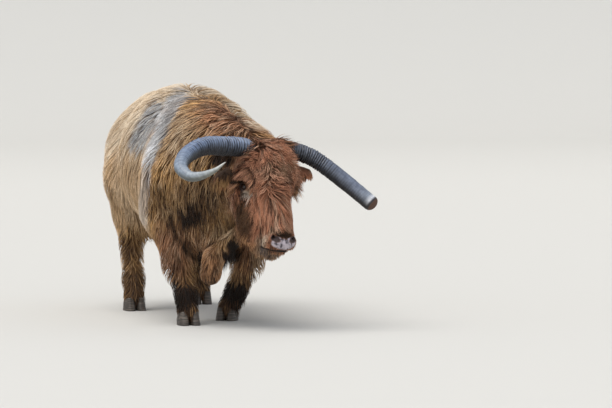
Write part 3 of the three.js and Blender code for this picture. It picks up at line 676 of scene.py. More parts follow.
def markings(p):
    """How red, dark, pale, grey and white the coat is at points: 0 to 1; dark, which holds painted shade too,
    up to 1.4.
    """
    h = in_head(p)
    side = both_sides(h)
    x, y, z = p.T
    across = 0.979 * x - 0.203 * y
    wobble = ripple(p, 0.16, 3) * 0.5 + ripple(p, 0.06, 4) * 0.3
    ragged = np.column_stack([ripple(p * (1, 1, 0.5), 0.07, seed) for seed in (13, 14, 15)])
    ragged_side = side + 0.004 * ragged
    head = smooth((0.045 - face_outline(p)) / 0.05) * (h[:, 1] > -0.34)
    head = np.maximum(head, smooth((0.014 - ears(h)) / 0.010))
    body = 1 - head
    chin = spot(side, (0, -0.130, 0.520), (0.110, 0.110, 0.090))
    beard = spot(side, (0.030, -0.215, 0.430), (0.190, 0.130, 0.210))
    red = patches(head * (1 - 0.45 * beard) * (1 - 0.95 * chin), p, RED_PLACES)

    in_shade = smooth((0.90 - z + 0.06 * wobble) / 0.20) * smooth((-0.03 - y) / 0.18)
    dark = body * 0.82 * in_shade
    # Darker on the lower legs, with painted shade on the insides of the legs and low under the chest between
    # them.
    leg = smooth((0.50 - z) / 0.20)
    inner = smooth((0.20 - np.abs(x)) / 0.16)
    dark = np.maximum(dark, leg * np.maximum(0.82 * smooth((0.27 - z) / 0.08), 0.65 * inner))
    dark = np.maximum(dark, 0.85 * smooth((0.52 - z) / 0.10) * inner * smooth((y + 0.20) / 0.20))
    dark = dark * (1 - 0.60 * spot(p, (-0.060, -0.360, 0.320), (0.110, 0.130, 0.180)))
    dark = dark * (1 - 0.35 * spot(p, (-0.110, -0.260, 0.430), (0.140, 0.200, 0.160)))
    dark = patches(dark, p + 0.026 * ragged, DARK_AND_SHADED_PLACES, body)
    # Painted highlight on the top of the dewlap.
    lit_top_of_dewlap = spot(p, *LIT_TOP_OF_DEWLAP)
    dark = dark * (1 - 0.7 * lit_top_of_dewlap)
    dark = patches(dark, ragged_side, DARK_AND_SHADED_ON_HEAD)
    dark = patches(dark, h, [SHADE_UNDER_RIGHT_EAR])

    right_flank = smooth((-0.300 - across + 0.02 * wobble) / 0.035) * (x < 0)
    behind = np.maximum(smooth((y - 0.02 + 0.06 * wobble) / 0.42), right_flank)
    back = smooth((z - 0.80 + 0.05 * wobble) / 0.24) * behind
    pale = 0.95 * back + 0.50 * behind * smooth((z - 0.36) / 0.20)
    pale = np.maximum(patches(pale, p, PALE_PLACES), 0.75 * lit_top_of_dewlap)
    forehead = spot(h, (-0.060, 0.070, 0.165), (0.150, 0.090, 0.095))
    pale = np.maximum(pale, 0.34 * forehead * (0.7 + 0.3 * ripple(p, 0.04, 18)))
    u, v, near = by_the_eye(ragged_side)
    eye_patch = smooth(1.5 - 1.5 * np.hypot((u - 0.008) / 0.048, (v - 0.042) / 0.033)) * near
    brow = spot(side, (0.120, -0.030, 0.160), (0.075, 0.090, 0.050))
    lips = spot(side, (0.082, -0.080, 0.500), (0.056, 0.075, 0.056))
    pale = np.maximum(pale, np.maximum(0.85 * eye_patch, np.maximum(0.10 * brow, 0.90 * lips)))
    strands = smooth(0.2 + ripple(p * (1, 1, 0.3), 0.03, 16))
    pale = np.maximum(pale, 0.26 * head * strands * (h[:, 1] > -0.06))
    pale = np.clip(pale + 0.26 * wobble * (pale > 0.02), 0, 1) * (1 - 0.8 * np.minimum(dark, 1))

    shoulder = smooth((-0.02 - x) / 0.06) * smooth((y + 0.36) / 0.10) * smooth((0.62 - y) / 0.20)
    from_middle = near_line(across, z, GREY_BANDS[0])
    band = np.minimum(from_middle, near_line(across, z, GREY_BANDS[1]) - 0.010)
    grey = smooth((0.052 + 0.014 * wobble - band) / 0.026) * shoulder * smooth((z - 0.78) / 0.14)
    grey = grey * (0.84 + 0.16 * ripple(p, 0.05, 5))
    core = smooth((0.030 - from_middle) / 0.024) * shoulder * smooth((z - 0.86) / 0.10)
    grey = grey * (1 - 0.22 * core)
    dark = np.maximum(dark, 0.85 * core)
    dark = np.maximum(dark, 0.30 * smooth((0.050 - from_middle) / 0.03) * shoulder)
    grey = np.maximum(grey, np.maximum(0.36 * eye_patch, np.maximum(0.25 * lips, 0.28 * chin)))

    white = smooth((0.036 + 0.008 * wobble - near_line(across, z, WHITE_STREAK)) / 0.020) * shoulder
    white = white * (0.35 + 0.65 * smooth((z - 0.74) / 0.12)) * (1 - 0.55 * smooth((z - 0.93) / 0.10))
    white = white * (0.9 + 0.1 * ripple(p, 0.04, 17))
    values = {"red": red, "dark": dark, "pale": pale, "grey": grey, "white": white}
    return {name: np.clip(value, 0, 1.4) for name, value in values.items()}


def note(mesh, **values):
    """Stores a number or a direction at each of a mesh's points, for its material or its tree to read."""
    for name, value in values.items():
        value = np.asarray(value, np.float32)
        kind, part = ("FLOAT", "value") if value.ndim == 1 else ("FLOAT_VECTOR", "vector")
        mesh.attributes.new(name, kind, "POINT").data.foreach_set(part, value.ravel())


def add_to_scene(name, data):
    """A new object in the scene from a mesh, a lamp or a camera."""
    thing = bpy.data.objects.new(name, data)
    bpy.context.scene.collection.objects.link(thing)
    return thing


def group_sockets(group, inputs, outputs):
    """Gives a node group its inputs and outputs, and returns the nodes that hold them."""
    for name, kind, value in inputs:
        socket = group.interface.new_socket(name, in_out="INPUT", socket_type=kind)
        if value is not None:
            socket.default_value = value
    for name, kind in outputs:
        group.interface.new_socket(name, in_out="OUTPUT", socket_type=kind)
    return group.nodes.new("NodeGroupInput"), group.nodes.new("NodeGroupOutput")


def feed(tree, socket, value):
    """Links a socket to another one, or sets it to a plain value."""
    if isinstance(value, bpy.types.NodeSocket):
        tree.links.new(value, socket)
    else:
        socket.default_value = value


def maths(tree, how, *values):
    """A node that works on up to three numbers, each a socket or a plain value."""
    node = tree.nodes.new("ShaderNodeMath")
    node.operation = how
    for socket, value in zip(node.inputs, values):
        feed(tree, socket, value)
    return node.outputs[0]


def blend_colours(tree, how, factor, a, b):
    """A node that lays colour b over a; a, b and the factor are values or sockets."""
    node = tree.nodes.new("ShaderNodeMix")
    node.data_type, node.blend_type, node.clamp_factor = "RGBA", how, True
    for index, value in ((0, factor), (6, a), (7, b)):
        feed(tree, node.inputs[index], (*value, 1) if isinstance(value, tuple) else value)
    return node.outputs[2]


def mixed(tree, factor, a, b):
    """A node that goes from number a to number b as the factor goes from 0 to 1."""
    node = tree.nodes.new("ShaderNodeMix")
    for index, value in ((0, factor), (2, a), (3, b)):
        feed(tree, node.inputs[index], value)
    return node.outputs[0]


def spread_out(tree, low, high, value):
    """A node that spreads a value between two limits out over 0 to 1."""
    node = tree.nodes.new("ShaderNodeMapRange")
    node.inputs["From Min"].default_value, node.inputs["From Max"].default_value = low, high
    tree.links.new(value, node.inputs["Value"])
    return node.outputs["Result"]


def clouds(tree, places, scale=1.0, detail=2.0, roughness=0.5):
    """A node that makes a soft, cloudy pattern over places."""
    node = tree.nodes.new("ShaderNodeTexNoise")
    node.inputs["Scale"].default_value = scale
    node.inputs["Detail"].default_value = detail
    node.inputs["Roughness"].default_value = roughness
    tree.links.new(places, node.inputs["Vector"])
    return node.outputs["Fac"]


def places_on(tree, scale):
    """A node that gives places on the object, multiplied by a scale along each axis."""
    places = tree.nodes.new("ShaderNodeTexCoord")
    scaled = tree.nodes.new("ShaderNodeMapping")
    scaled.inputs["Scale"].default_value = scale
    tree.links.new(places.outputs["Object"], scaled.inputs["Vector"])
    return scaled.outputs["Vector"]


def read_number(tree, name):
    """A node that reads a number stored at the mesh's points."""
    node = tree.nodes.new("ShaderNodeAttribute")
    node.attribute_name = name
    return node.outputs["Fac"]


def weighed(tree, parts):
    """A node that fills a vector's places, each with the sum of numbers multiplied by weights."""
    vector = tree.nodes.new("ShaderNodeCombineXYZ")
    for place, terms in enumerate(parts):
        total = 0.0
        for value, weight in terms:
            total = maths(tree, "MULTIPLY_ADD", value, weight, total)
        tree.links.new(total, vector.inputs[place])
    return vector.outputs[0]


def new_finish(name, **sockets):
    """A material, its node tree and its shader, with the shader's own sockets set by name."""
    material = bpy.data.materials.new(name)
    material.use_nodes = True
    shader = material.node_tree.nodes["Principled BSDF"]
    for socket, value in sockets.items():
        shader.inputs[socket.replace("_", " ")].default_value = value
    return material, material.node_tree, shader


def raise_by(tree, shader, height, strength, distance):
    """Lets the surface rise and fall with a height."""
    bump = tree.nodes.new("ShaderNodeBump")
    bump.inputs["Strength"].default_value = strength
    bump.inputs["Distance"].default_value = distance
    tree.links.new(height, bump.inputs["Height"])
    tree.links.new(bump.outputs["Normal"], shader.inputs["Normal"])


# Colours, for the hair and the skin together. A tint from 0 to 1 gives each lock its own shade.
GOLD = ((0.110, 0.044, 0.017), (0.900, 0.540, 0.222))  # the darkest and the lightest of the main colour
MARK_COLOURS = {  # the same for each mark, laid over one another in this order
    "Red": ((0.048, 0.016, 0.009), (0.640, 0.285, 0.160)),
    "Pale": ((0.450, 0.285, 0.145), (0.950, 0.810, 0.620)),
    # Dark also carries painted shade, and from 1 up its colour is darkened further.
    "Dark": ((0.008, 0.004, 0.002), (0.155, 0.076, 0.034)),
    "Grey": ((0.170, 0.176, 0.184), (0.590, 0.608, 0.630)),
    "White": ((0.680, 0.695, 0.710), (0.940, 0.950, 0.970)),
}
# Painted shade: what the colour is multiplied by at each lock's root and in the deepest shade.
SHADE_AT_THE_ROOT, DEEPEST_SHADE = (0.36, 0.31, 0.28), (0.30, 0.26, 0.24)  # what the colour is multiplied by there
STREAKINESS = 0.46

coat_colour = bpy.data.node_groups.new("coat_colour", "ShaderNodeTree")
given, result = group_sockets(
    coat_colour,
    [("Strand", "NodeSocketVector", None)]
    + [(name, "NodeSocketFloat", 0.0) for name in ("Tint", "Along", *MARK_COLOURS)],
    [("Colour", "NodeSocketColor"), ("Streak", "NodeSocketFloat")],
)
streak = spread_out(coat_colour, 0.30, 0.70, clouds(coat_colour, given.outputs["Strand"], 1.0, 3.0, 0.6))
lightness = maths(coat_colour, "MULTIPLY_ADD", streak, STREAKINESS, given.outputs["Tint"])
lightness = spread_out(coat_colour, 0.06, 1.30, lightness)
colour = blend_colours(coat_colour, "MIX", lightness, *GOLD)
for mark, shades_of_it in MARK_COLOURS.items():
    own = blend_colours(coat_colour, "MIX", lightness, *shades_of_it)
    colour = blend_colours(coat_colour, "MIX", given.outputs[mark], colour, own)
# Painted shade that darkens each lock towards its root.
from_root = spread_out(coat_colour, 0.0, 0.75, given.outputs["Along"])
root_shade = blend_colours(coat_colour, "MIX", from_root, SHADE_AT_THE_ROOT, (1.0, 1.0, 1.0))
colour = blend_colours(coat_colour, "MULTIPLY", 1.0, colour, root_shade)
# Painted deep shade, where the dark mark goes from 1 up to 1.4.
deepest = spread_out(coat_colour, 1.0, 1.4, given.outputs["Dark"])
colour = blend_colours(coat_colour, "MULTIPLY", deepest, colour, DEEPEST_SHADE)
coat_colour.links.new(colour, result.inputs["Colour"])
coat_colour.links.new(streak, result.inputs["Streak"])


def hair_finish(name, roughness, bump, on_locks):
    """A material for skin or hair that takes its colour from the markings stored at the points."""
    material, tree, shader = new_finish(name, Roughness=roughness, Specular_IOR_Level=0.22, Sheen_Weight=0.05,
                                        Sheen_Roughness=0.45, Sheen_Tint=(1.0, 0.82, 0.62, 1))
    colours = tree.nodes.new("ShaderNodeGroup")
    colours.node_tree = coat_colour
    for socket in ("Tint", "Along", *MARK_COLOURS):
        tree.links.new(read_number(tree, socket.lower()), colours.inputs[socket])
    if on_locks:
        around, tint, along = (read_number(tree, n) for n in ("around", "tint", "along"))
        strand = weighed(tree, (((around, 10.0), (tint, 31.0)), ((tint, 67.0),), ((along, 1.6),)))
    else:
        strand = places_on(tree, (240.0, 240.0, 40.0))
    tree.links.new(strand, colours.inputs["Strand"])
    tree.links.new(colours.outputs["Colour"], shader.inputs["Base Color"])
    raise_by(tree, shader, colours.outputs["Streak"], bump, 0.002)
    return material


def add_bare_skin(material):
    """Lays the pink, mottled nose pad and the dark bare skin of lids and lips over the short hair."""
    tree = material.node_tree
    shader = tree.nodes["Principled BSDF"]
    pad, skin = read_number(tree, "pad"), read_number(tree, "skin")
    places = places_on(tree, (1.0, 1.0, 1.0))
    pebbles = tree.nodes.new("ShaderNodeTexVoronoi")
    pebbles.inputs["Scale"].default_value = 380.0
    tree.links.new(places, pebbles.inputs["Vector"])
    mottle = spread_out(tree, 0.38, 0.56, clouds(tree, places, 48.0, 4.0))
    pink = blend_colours(tree, "MIX", mottle, PAD_DARK, PAD_PINK)
    hair_colour = shader.inputs["Base Color"].links[0].from_socket
    colour = blend_colours(tree, "MIX", skin, hair_colour, BARE_SKIN)
    colour = blend_colours(tree, "MIX", pad, colour, pink)
    tree.links.new(colour, shader.inputs["Base Color"])
    tree.links.new(mixed(tree, pad, 0.62, 0.36), shader.inputs["Roughness"])
    bump = shader.inputs["Normal"].links[0].from_node
    height = mixed(tree, pad, bump.inputs["Height"].links[0].from_socket, pebbles.outputs["Distance"])
    tree.links.new(height, bump.inputs["Height"])


PAD_DARK, PAD_PINK = (0.075, 0.064, 0.074), (0.455, 0.400, 0.435)
BARE_SKIN = (0.035, 0.022, 0.020)

hide = add_to_scene("hide", hide_mesh)
signs = markings(corners)
h = in_head(corners)
side = both_sides(h)
rims = smooth((0.0320 - np.linalg.norm(side - np.array(EYE), axis=1)) / 0.003)
rims = np.maximum(rims, smooth((0.007 - chain(side, NOSTRIL, 0.006)) / 0.008))
rims = np.maximum(rims, smooth((0.007 - mouth_line(side)) / 0.004) * (h[:, 2] > 0.45))
# The hide's along of 0.30 gives it part of the painted shade at the locks' roots.
note(hide_mesh, tint=0.35 + 0.15 * ripple(corners, 0.05, 9), along=np.full(len(corners), 0.30),
     pad=pad_at(h) * (1 - rims), skin=rims, **signs)
hide_mesh.transform(Matrix.Translation(HOME))
hide_mesh.shade_smooth()
hide_finish = hair_finish("hide_with_short_hair", 0.62, 0.5, False)
add_bare_skin(hide_finish)
hide_mesh.materials.append(hide_finish)
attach(hide, "root")
FLESH = ["head", "muzzle", "lower_jaw", "right_ear", "left_ear", "neck", "dewlap", "trunk", "tail"]
FLESH += [leg + part for leg in LEGS for part in ("_upper_leg", "_lower_leg")]
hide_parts(*FLESH)

# ---- The coat ------------------------------------------------------------------------------------
# Long weather hair over the whole body, in solid locks that taper to a point. Each lock starts under the hide
# and follows the lie of the coat, rising through the locks above it to the coat's outline.

RISE_FROM = 0.002  # how deep under the hide a lock starts
LYING_BUNCH, LOOSE_BUNCH = 7, 5  # how many locks come together into one point
LYING_THICKNESS, LOOSE_THICKNESS = 0.35, 0.4  # of a lock, beside its breadth
PATCH = 0.003  # each lock's own place on the flat map
WHORL = (-0.042, 0.068, 0.280)  # where the brow hair parts from the nose hair, in the head's axes


def along_hide(way, out):
    """Directions laid flat on the hide and made one long."""
    way = way - out * np.sum(way * out, axis=1, keepdims=True)
    return way / (np.linalg.norm(way, axis=1, keepdims=True) + 1e-6)


def hair_lie(p, out):
    """Which way the hair lies at points of the body, along the hide."""
    x, y, z = p.T
    h = in_head(p)
    head = smooth((0.050 - face_outline(p)) / 0.05)[:, None]
    crest = smooth((z - 0.95) / 0.25)
    hump = crest * smooth((0.12 - y) / 0.25)
    spread = 0.55 * np.tanh(x / 0.08) * crest * (1 - hump) + 0.85 * np.tanh((x - 0.17) / 0.06) * hump
    body = np.column_stack((spread, 0.42 - 0.25 * smooth(-y / 0.3), -1 + 0 * z))
    aside, down, side = h[:, 0] - WHORL[0], h[:, 2] - WHORL[2], np.sign(h[:, 0])
    nose = np.column_stack((3.6 * aside, 0 * aside, 0.40 + 0 * aside))
    brow = np.column_stack((np.tanh(aside / 0.03), 0 * aside, 0.25 + 0.9 * smooth((-down - 0.05) / 0.12)))
    cheek = np.column_stack((0.1 * side, -0.40 + 0 * aside, 0.9 + 0 * aside))
    below = smooth((down + 0.02) / 0.05)[:, None]
    outer = smooth((np.abs(h[:, 0]) - 0.080) / 0.050)[:, None] * smooth((h[:, 2] - 0.14) / 0.06)[:, None]
    face = (below * nose + (1 - below) * brow) * (1 - outer) + cheek * outer
    return along_hide(body * (1 - head) + (face @ HEAD) * head, out)


def unwrapped(p):
    """Places from 0 to 1 on a flat map of the hide: the trunk, the head and each leg unrolled in strips."""
    x, y, z = p.T
    h = in_head(p)
    turn = np.arctan2(x - 0.1 * smooth(-y / 0.4), z - 0.82) / (2 * math.pi) + 0.5
    u, v = 0.02 + 0.96 * turn, 0.52 + 0.46 * (y + 0.65) / 2.35
    on_head = face_outline(p) < torso(p)
    round_head = np.arctan2(h[:, 0], h[:, 1] + 0.08) / (2 * math.pi) + 0.5
    u = np.where(on_head, 0.02 + 0.30 * round_head, u)
    v = np.where(on_head, 0.02 + 0.46 * np.clip((h[:, 2] + 0.15) / 0.80, 0, 1), v)
    for i, joints in enumerate(LEGS.values()):
        middle = [np.interp(-z, [-j[2] for j in joints], [j[k] for j in joints]) for k in (0, 1)]
        near = (z < 0.56) & (np.hypot(x - middle[0], y - middle[1]) < 0.15) & ~on_head
        around = np.arctan2(x - middle[0], y - middle[1]) / (2 * math.pi) + 0.5
        u = np.where(near, 0.36 + 0.155 * i + 0.14 * around, u)
        v = np.where(near, 0.02 + 0.46 * z / 0.56, v)
    return np.column_stack((np.clip(u, 0.005, 0.99), np.clip(v, 0.005, 0.99)))


# One tree sweeps a flattened, many-sided lock along each path and closes both of its ends.
locks_tree = bpy.data.node_groups.new("locks_along_paths", "GeometryNodeTree")
given, result = group_sockets(
    locks_tree,
    [
        ("Paths", "NodeSocketGeometry", None),
        ("Sides", "NodeSocketInt", 3),
        ("Width", "NodeSocketFloat", 1.0),
        ("Thickness", "NodeSocketFloat", 0.4),
        ("Patch", "NodeSocketFloat", PATCH),
        ("Hair", "NodeSocketMaterial", None),
    ],
    [("Locks", "NodeSocketGeometry")],
)


def geometry_node(kind, **links):
    """A node of the tree, with its sockets linked or set by name."""
    node = locks_tree.nodes.new(kind)
    for name, value in links.items():
        name = name.replace("_", " ")
        feed(locks_tree, next(s for s in node.inputs if s.name == name and s.enabled), value)
    return node


def stored(name, kind):
    """A node that reads a number or a direction stored along the paths."""
    node = locks_tree.nodes.new("GeometryNodeInputNamedAttribute")
    node.data_type = kind
    node.inputs["Name"].default_value = name
    return node.outputs["Attribute"]


def on_map(place, gone):
    """How far over the flat map a corner is, from its root's place and how far it has gone round or along."""
    across_patch = maths(locks_tree, "MULTIPLY", stored(gone, "FLOAT"), given.outputs["Patch"])
    return maths(locks_tree, "ADD", place, across_patch)


lines = geometry_node("GeometryNodeMeshToCurve", Mesh=given.outputs["Paths"]).outputs["Curve"]
facing = geometry_node("GeometryNodeSetCurveNormal", Curve=lines)
facing.mode = "FREE"
locks_tree.links.new(stored("facing", "FLOAT_VECTOR"), facing.inputs["Normal"])
ring = geometry_node("GeometryNodeCurvePrimitiveCircle", Resolution=given.outputs["Sides"], Radius=1.0)
squash = geometry_node("ShaderNodeCombineXYZ", X=given.outputs["Thickness"], Y=given.outputs["Width"], Z=1.0)
ring = geometry_node("GeometryNodeTransform", Geometry=ring.outputs["Curve"], Scale=squash.outputs[0])
factor = geometry_node("GeometryNodeSplineParameter").outputs["Factor"]
ring = geometry_node("GeometryNodeStoreNamedAttribute", Geometry=ring.outputs[0], Name="around", Value=factor)
swept = geometry_node("GeometryNodeCurveToMesh", Curve=facing.outputs["Curve"], Profile_Curve=ring.outputs[0],
                      Scale=stored("breadth", "FLOAT"), Fill_Caps=True)
place = geometry_node("ShaderNodeSeparateXYZ", Vector=stored("root_place", "FLOAT_VECTOR"))
uv = geometry_node("ShaderNodeCombineXYZ", X=on_map(place.outputs[0], "around"),
                   Y=on_map(place.outputs[1], "along"), Z=0.0)
mapped = locks_tree.nodes.new("GeometryNodeStoreNamedAttribute")
mapped.data_type, mapped.domain = "FLOAT2", "CORNER"
mapped.inputs["Name"].default_value = "OFBake"
locks_tree.links.new(swept.outputs["Mesh"], mapped.inputs["Geometry"])
locks_tree.links.new(uv.outputs[0], next(s for s in mapped.inputs if s.name == "Value" and s.enabled))
soft = geometry_node("GeometryNodeSetShadeSmooth", Geometry=mapped.outputs[0])
whole = geometry_node("GeometryNodeRealizeInstances", Geometry=soft.outputs[0])
done = geometry_node("GeometryNodeSetMaterial", Geometry=whole.outputs[0], Material=given.outputs["Hair"])
locks_tree.links.new(done.outputs[0], result.inputs["Locks"])


def sweep(name, paths, facings, breadths, root_places, marks, material, thickness, sides=3):
    """A piece of closed locks: paths of (lock, step, xyz) with a facing and a breadth at every step."""
    locks, steps = paths.shape[:2]
    mesh = bpy.data.meshes.new(name + "_paths")
    mesh.vertices.add(locks * steps)
    mesh.vertices.foreach_set("co", (paths + HOME).astype(np.float32).ravel())
    first = (np.arange(locks)[:, None] * steps + np.arange(steps - 1)).ravel()
    mesh.edges.add(len(first))
    mesh.edges.foreach_set("vertices", np.column_stack((first, first + 1)).astype(np.int32).ravel())
    along = np.broadcast_to(np.linspace(0, 1, steps), (locks, steps))
    marks = {mark: np.repeat(v, steps) if v.ndim == 1 else v.ravel() for mark, v in marks.items()}
    root_places = np.column_stack((root_places, np.zeros(locks)))
    note(mesh, breadth=breadths.ravel(), along=along.ravel(), **marks, facing=facings.reshape(-1, 3),
         root_place=np.repeat(root_places, steps, axis=0))
    piece = add_to_scene(name, mesh)
    modifier = piece.modifiers.new("locks", "NODES")
    modifier.node_group = locks_tree
    sockets = {s.name: s.identifier for s in locks_tree.interface.items_tree if s.in_out == "INPUT"}
    given_to_it = {"Sides": sides, "Width": 1.0, "Thickness": thickness, "Patch": PATCH, "Hair": material}
    for socket, value in given_to_it.items():
        modifier[sockets[socket]] = value
    evaluated = piece.evaluated_get(bpy.context.evaluated_depsgraph_get())
    solid = bpy.data.meshes.new_from_object(evaluated)
    solid.name = name
    piece.modifiers.remove(modifier)
    piece.data = solid
    bpy.data.meshes.remove(mesh)
    for spare in ("facing", "root_place", "breadth"):
        if spare in solid.attributes:
            solid.attributes.remove(solid.attributes[spare])
    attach(piece, "root")
    return piece


def grow(roots, out, length, steps, seed, stray=0.22, lift=0.0, wave=0.0, wavelength=0.05):
    """Paths of locks from roots on the hide, with the direction away from the body at every step of each."""
    rng = np.random.default_rng(seed)
    n = len(roots)
    length, lift, wave = (np.broadcast_to(np.asarray(v, float), n) for v in (length, lift, wave))
    length = length * rng.uniform(0.78, 1.12, n)
    p = (roots - out * RISE_FROM).astype(np.float32)
    sunk = outline(p)
    paths, facings, sides = [p], [out], []
    lean = rng.normal(0, stray, n) + 1.4 * stray * ripple(roots, 0.10, seed + 50)
    phase = rng.uniform(0, 1.2, n) + ripple(roots, 0.20, seed + 60)
    face = out
    for i in range(1, steps + 1):
        t = i / steps
        way = hair_lie(p, face)
        side = np.cross(face, way)
        way = way + side * lean[:, None]
        way /= np.linalg.norm(way, axis=1, keepdims=True)
        p = p + way * (length / steps)[:, None]
        face, here, steep = slope(outline, p)
        level = sunk * (1 - t) ** 1.5 + lift * t
        off = np.clip((here - level) / np.maximum(steep, 0.3), -0.03, 0.03)
        p = (p - face * off[:, None]).astype(np.float32)
        paths.append(p)
        facings.append(face)
        sides.append(side)
    paths, facings = np.stack(paths, 1), np.stack(facings, 1)
    sides = np.stack([sides[0], *sides], 1)
    t = np.linspace(0, 1, steps + 1)
    turn = 2 * math.pi * (phase[:, None] + t * (length / wavelength)[:, None])
    swing = wave[:, None] * np.minimum(1, 2 * t)
    paths = paths + sides * (swing * np.sin(turn))[..., None]
    return paths + facings * (0.5 * swing * np.cos(turn))[..., None], facings


def gather(paths, pull, every, power=1.3):
    """Locks drawn together into pointed bunches round every few of them."""
    tree = kdtree.KDTree(len(paths[::every]))
    for i, root in enumerate(paths[::every, 0]):
        tree.insert(root, i)
    tree.balance()
    nearest = np.array([tree.find(root)[1] for root in paths[:, 0]]) * every
    t = np.linspace(0, 1, paths.shape[1]) ** power
    return paths + (paths[nearest] - paths) * (pull * t)[None, :, None]


def taper(locks, steps, breadth, fullest=0.35):
    """How broad each lock is at its steps: full in the lower middle, and nothing at the tip."""
    t = np.linspace(0, 1, steps + 1)
    shape = np.where(t < fullest, 0.75 + 0.25 * t / fullest, ((1 - t) / (1 - fullest)) ** 0.7)
    return np.broadcast_to(np.asarray(breadth, float), locks)[:, None] * np.maximum(shape, 0.05)


def shades(roots, seed, strength):
    """A tint for each lock: patches of darker and lighter locks that run with the coat, and chance."""
    rng = np.random.default_rng(seed)
    drawn_out = roots * np.array((1, 1, 0.22), np.float32)
    return 0.5 + strength * (0.8 * ripple(drawn_out, 0.045, seed + 1) + 0.7 * ripple(roots, 0.22, seed + 2)
                             + rng.normal(0, 0.9, len(roots)))


hide_mesh.calc_loop_triangles()
triangles = np.empty(len(hide_mesh.loop_triangles) * 3, np.int32)
hide_mesh.loop_triangles.foreach_get("vertices", triangles)
triangles = corners[triangles.reshape(-1, 3)]
sides_of = np.cross(triangles[:, 1] - triangles[:, 0], triangles[:, 2] - triangles[:, 0])
areas = np.linalg.norm(sides_of, axis=1) / 2
outwards = sides_of / (2 * areas[:, None] + 1e-12)
middles = triangles.mean(axis=1)
middle_head = in_head(middles)
face_gap, torso_gap = face_outline(middles), torso(middles)
on_ear = (ears(middle_head) < 0.004) & (np.abs(middle_head[:, 0]) > 0.115)
on_tail = (middles[:, 1] > 1.44) & (torso_gap > -0.035)
on_head = (face_gap < torso_gap) & ~on_ear & (middle_head[:, 1] > -0.26)
leg_gap = np.min([chain(middles, joints, SOFT_LEG) for joints in LEGS.values()], axis=0)
dewlap_gap = chain(middles, DEWLAP, 0.03)
on_dewlap = (dewlap_gap < torso_gap) & ~on_head & (middles[:, 2] < 0.60) & (middles[:, 1] < -0.25)
on_leg = (leg_gap < torso_gap - 0.01) & ~on_head & ~on_dewlap & ~on_tail & (middles[:, 2] < 0.66)
on_neck = ~(on_head | on_ear | on_tail | on_dewlap | on_leg) & (middles[:, 1] < -0.12)
on_trunk = ~(on_head | on_ear | on_tail | on_dewlap | on_leg | on_neck)


def rooted(where, count, seed, weight=None):
    """Evenly spread places on the hide, with the direction away from it."""
    rng = np.random.default_rng(seed)
    share = np.cumsum(areas * where * (1 if weight is None else weight))
    picked = np.searchsorted(share, (np.arange(count) + rng.random(count)) / count * share[-1])
    picked = np.minimum(picked, len(areas) - 1)
    a, b = rng.random((2, count, 1))
    a, b = np.where(a + b > 1, 1 - a, a), np.where(a + b > 1, 1 - b, b)
    t = triangles[picked]
    return t[:, 0] + a * (t[:, 1] - t[:, 0]) + b * (t[:, 2] - t[:, 0]), outwards[picked]


def hang_free(roots, out, way, length, steps, seed, fall=0.8, stray=0.15, curl=0.0):
    """Paths of locks that leave the hide and hang in the air, turning from their first way to the floor."""
    rng = np.random.default_rng(seed)
    n = len(roots)
    length = np.broadcast_to(length, n) * rng.uniform(0.65, 1.1, n)
    way = way / np.linalg.norm(way, axis=1, keepdims=True) + rng.normal(0, stray, (n, 3))
    side = np.cross(out, way)
    phase = rng.uniform(0, 2 * math.pi, n)
    p = roots - out * RISE_FROM
    paths, facings = [p], [out]
    for i in range(1, steps + 1):
        t = i / steps
        turned = way * (1 - fall * t) + DOWN * fall * t
        turned = turned + side * (curl * np.sin(phase + 5 * t))[:, None]
        turned /= np.linalg.norm(turned, axis=1, keepdims=True)
        p = p + turned * (length / steps)[:, None]
        paths.append(p)
        facings.append(along_hide(out, turned))
    paths = np.stack(paths, 1)
    paths[..., 2] = np.maximum(paths[..., 2], 0.006)
    return paths, np.stack(facings, 1)


DOWN = np.array((0, 0, -1.0))
SIGHT = unit((0.62, 0.72, 0.30))  # from an eye to where the hair must leave it in view


def clear_of_eyes(paths):
    """The paths again, with those that would hang before an eye or a nostril cut short, and which to keep."""
    count, steps = paths.shape[:2]
    side = both_sides(in_head(paths.reshape(-1, 3).astype(np.float32)))
    rel = side - np.array(EYE, np.float32)
    blocks = (chain(side, NOSTRIL, 0.006) < 0.005) | ((mouth_line(side) < 0.002) & (side[:, 2] > 0.50))
    for line, opening in ((GAZE, 0.08), (SIGHT, 0.10)):
        before = rel @ line.astype(np.float32)
        aside = np.linalg.norm(rel - before[:, None] * line.astype(np.float32), axis=1)
        blocks |= (before > 0.004) & (aside < 0.018 + opening * before) & (before < 0.12)
    blocks = blocks.reshape(count, steps)
    free = np.where(blocks.any(axis=1), np.argmax(blocks, axis=1) - 0.6, steps - 1.0)
    places = np.linspace(0, 1, steps) * np.maximum(free, 0.1)[:, None]
    low = np.minimum(places.astype(int), steps - 2)
    part = (places - low)[..., None]
    row = np.arange(count)[:, None]
    return paths[row, low] * (1 - part) + paths[row, low + 1] * part, free > 0.9


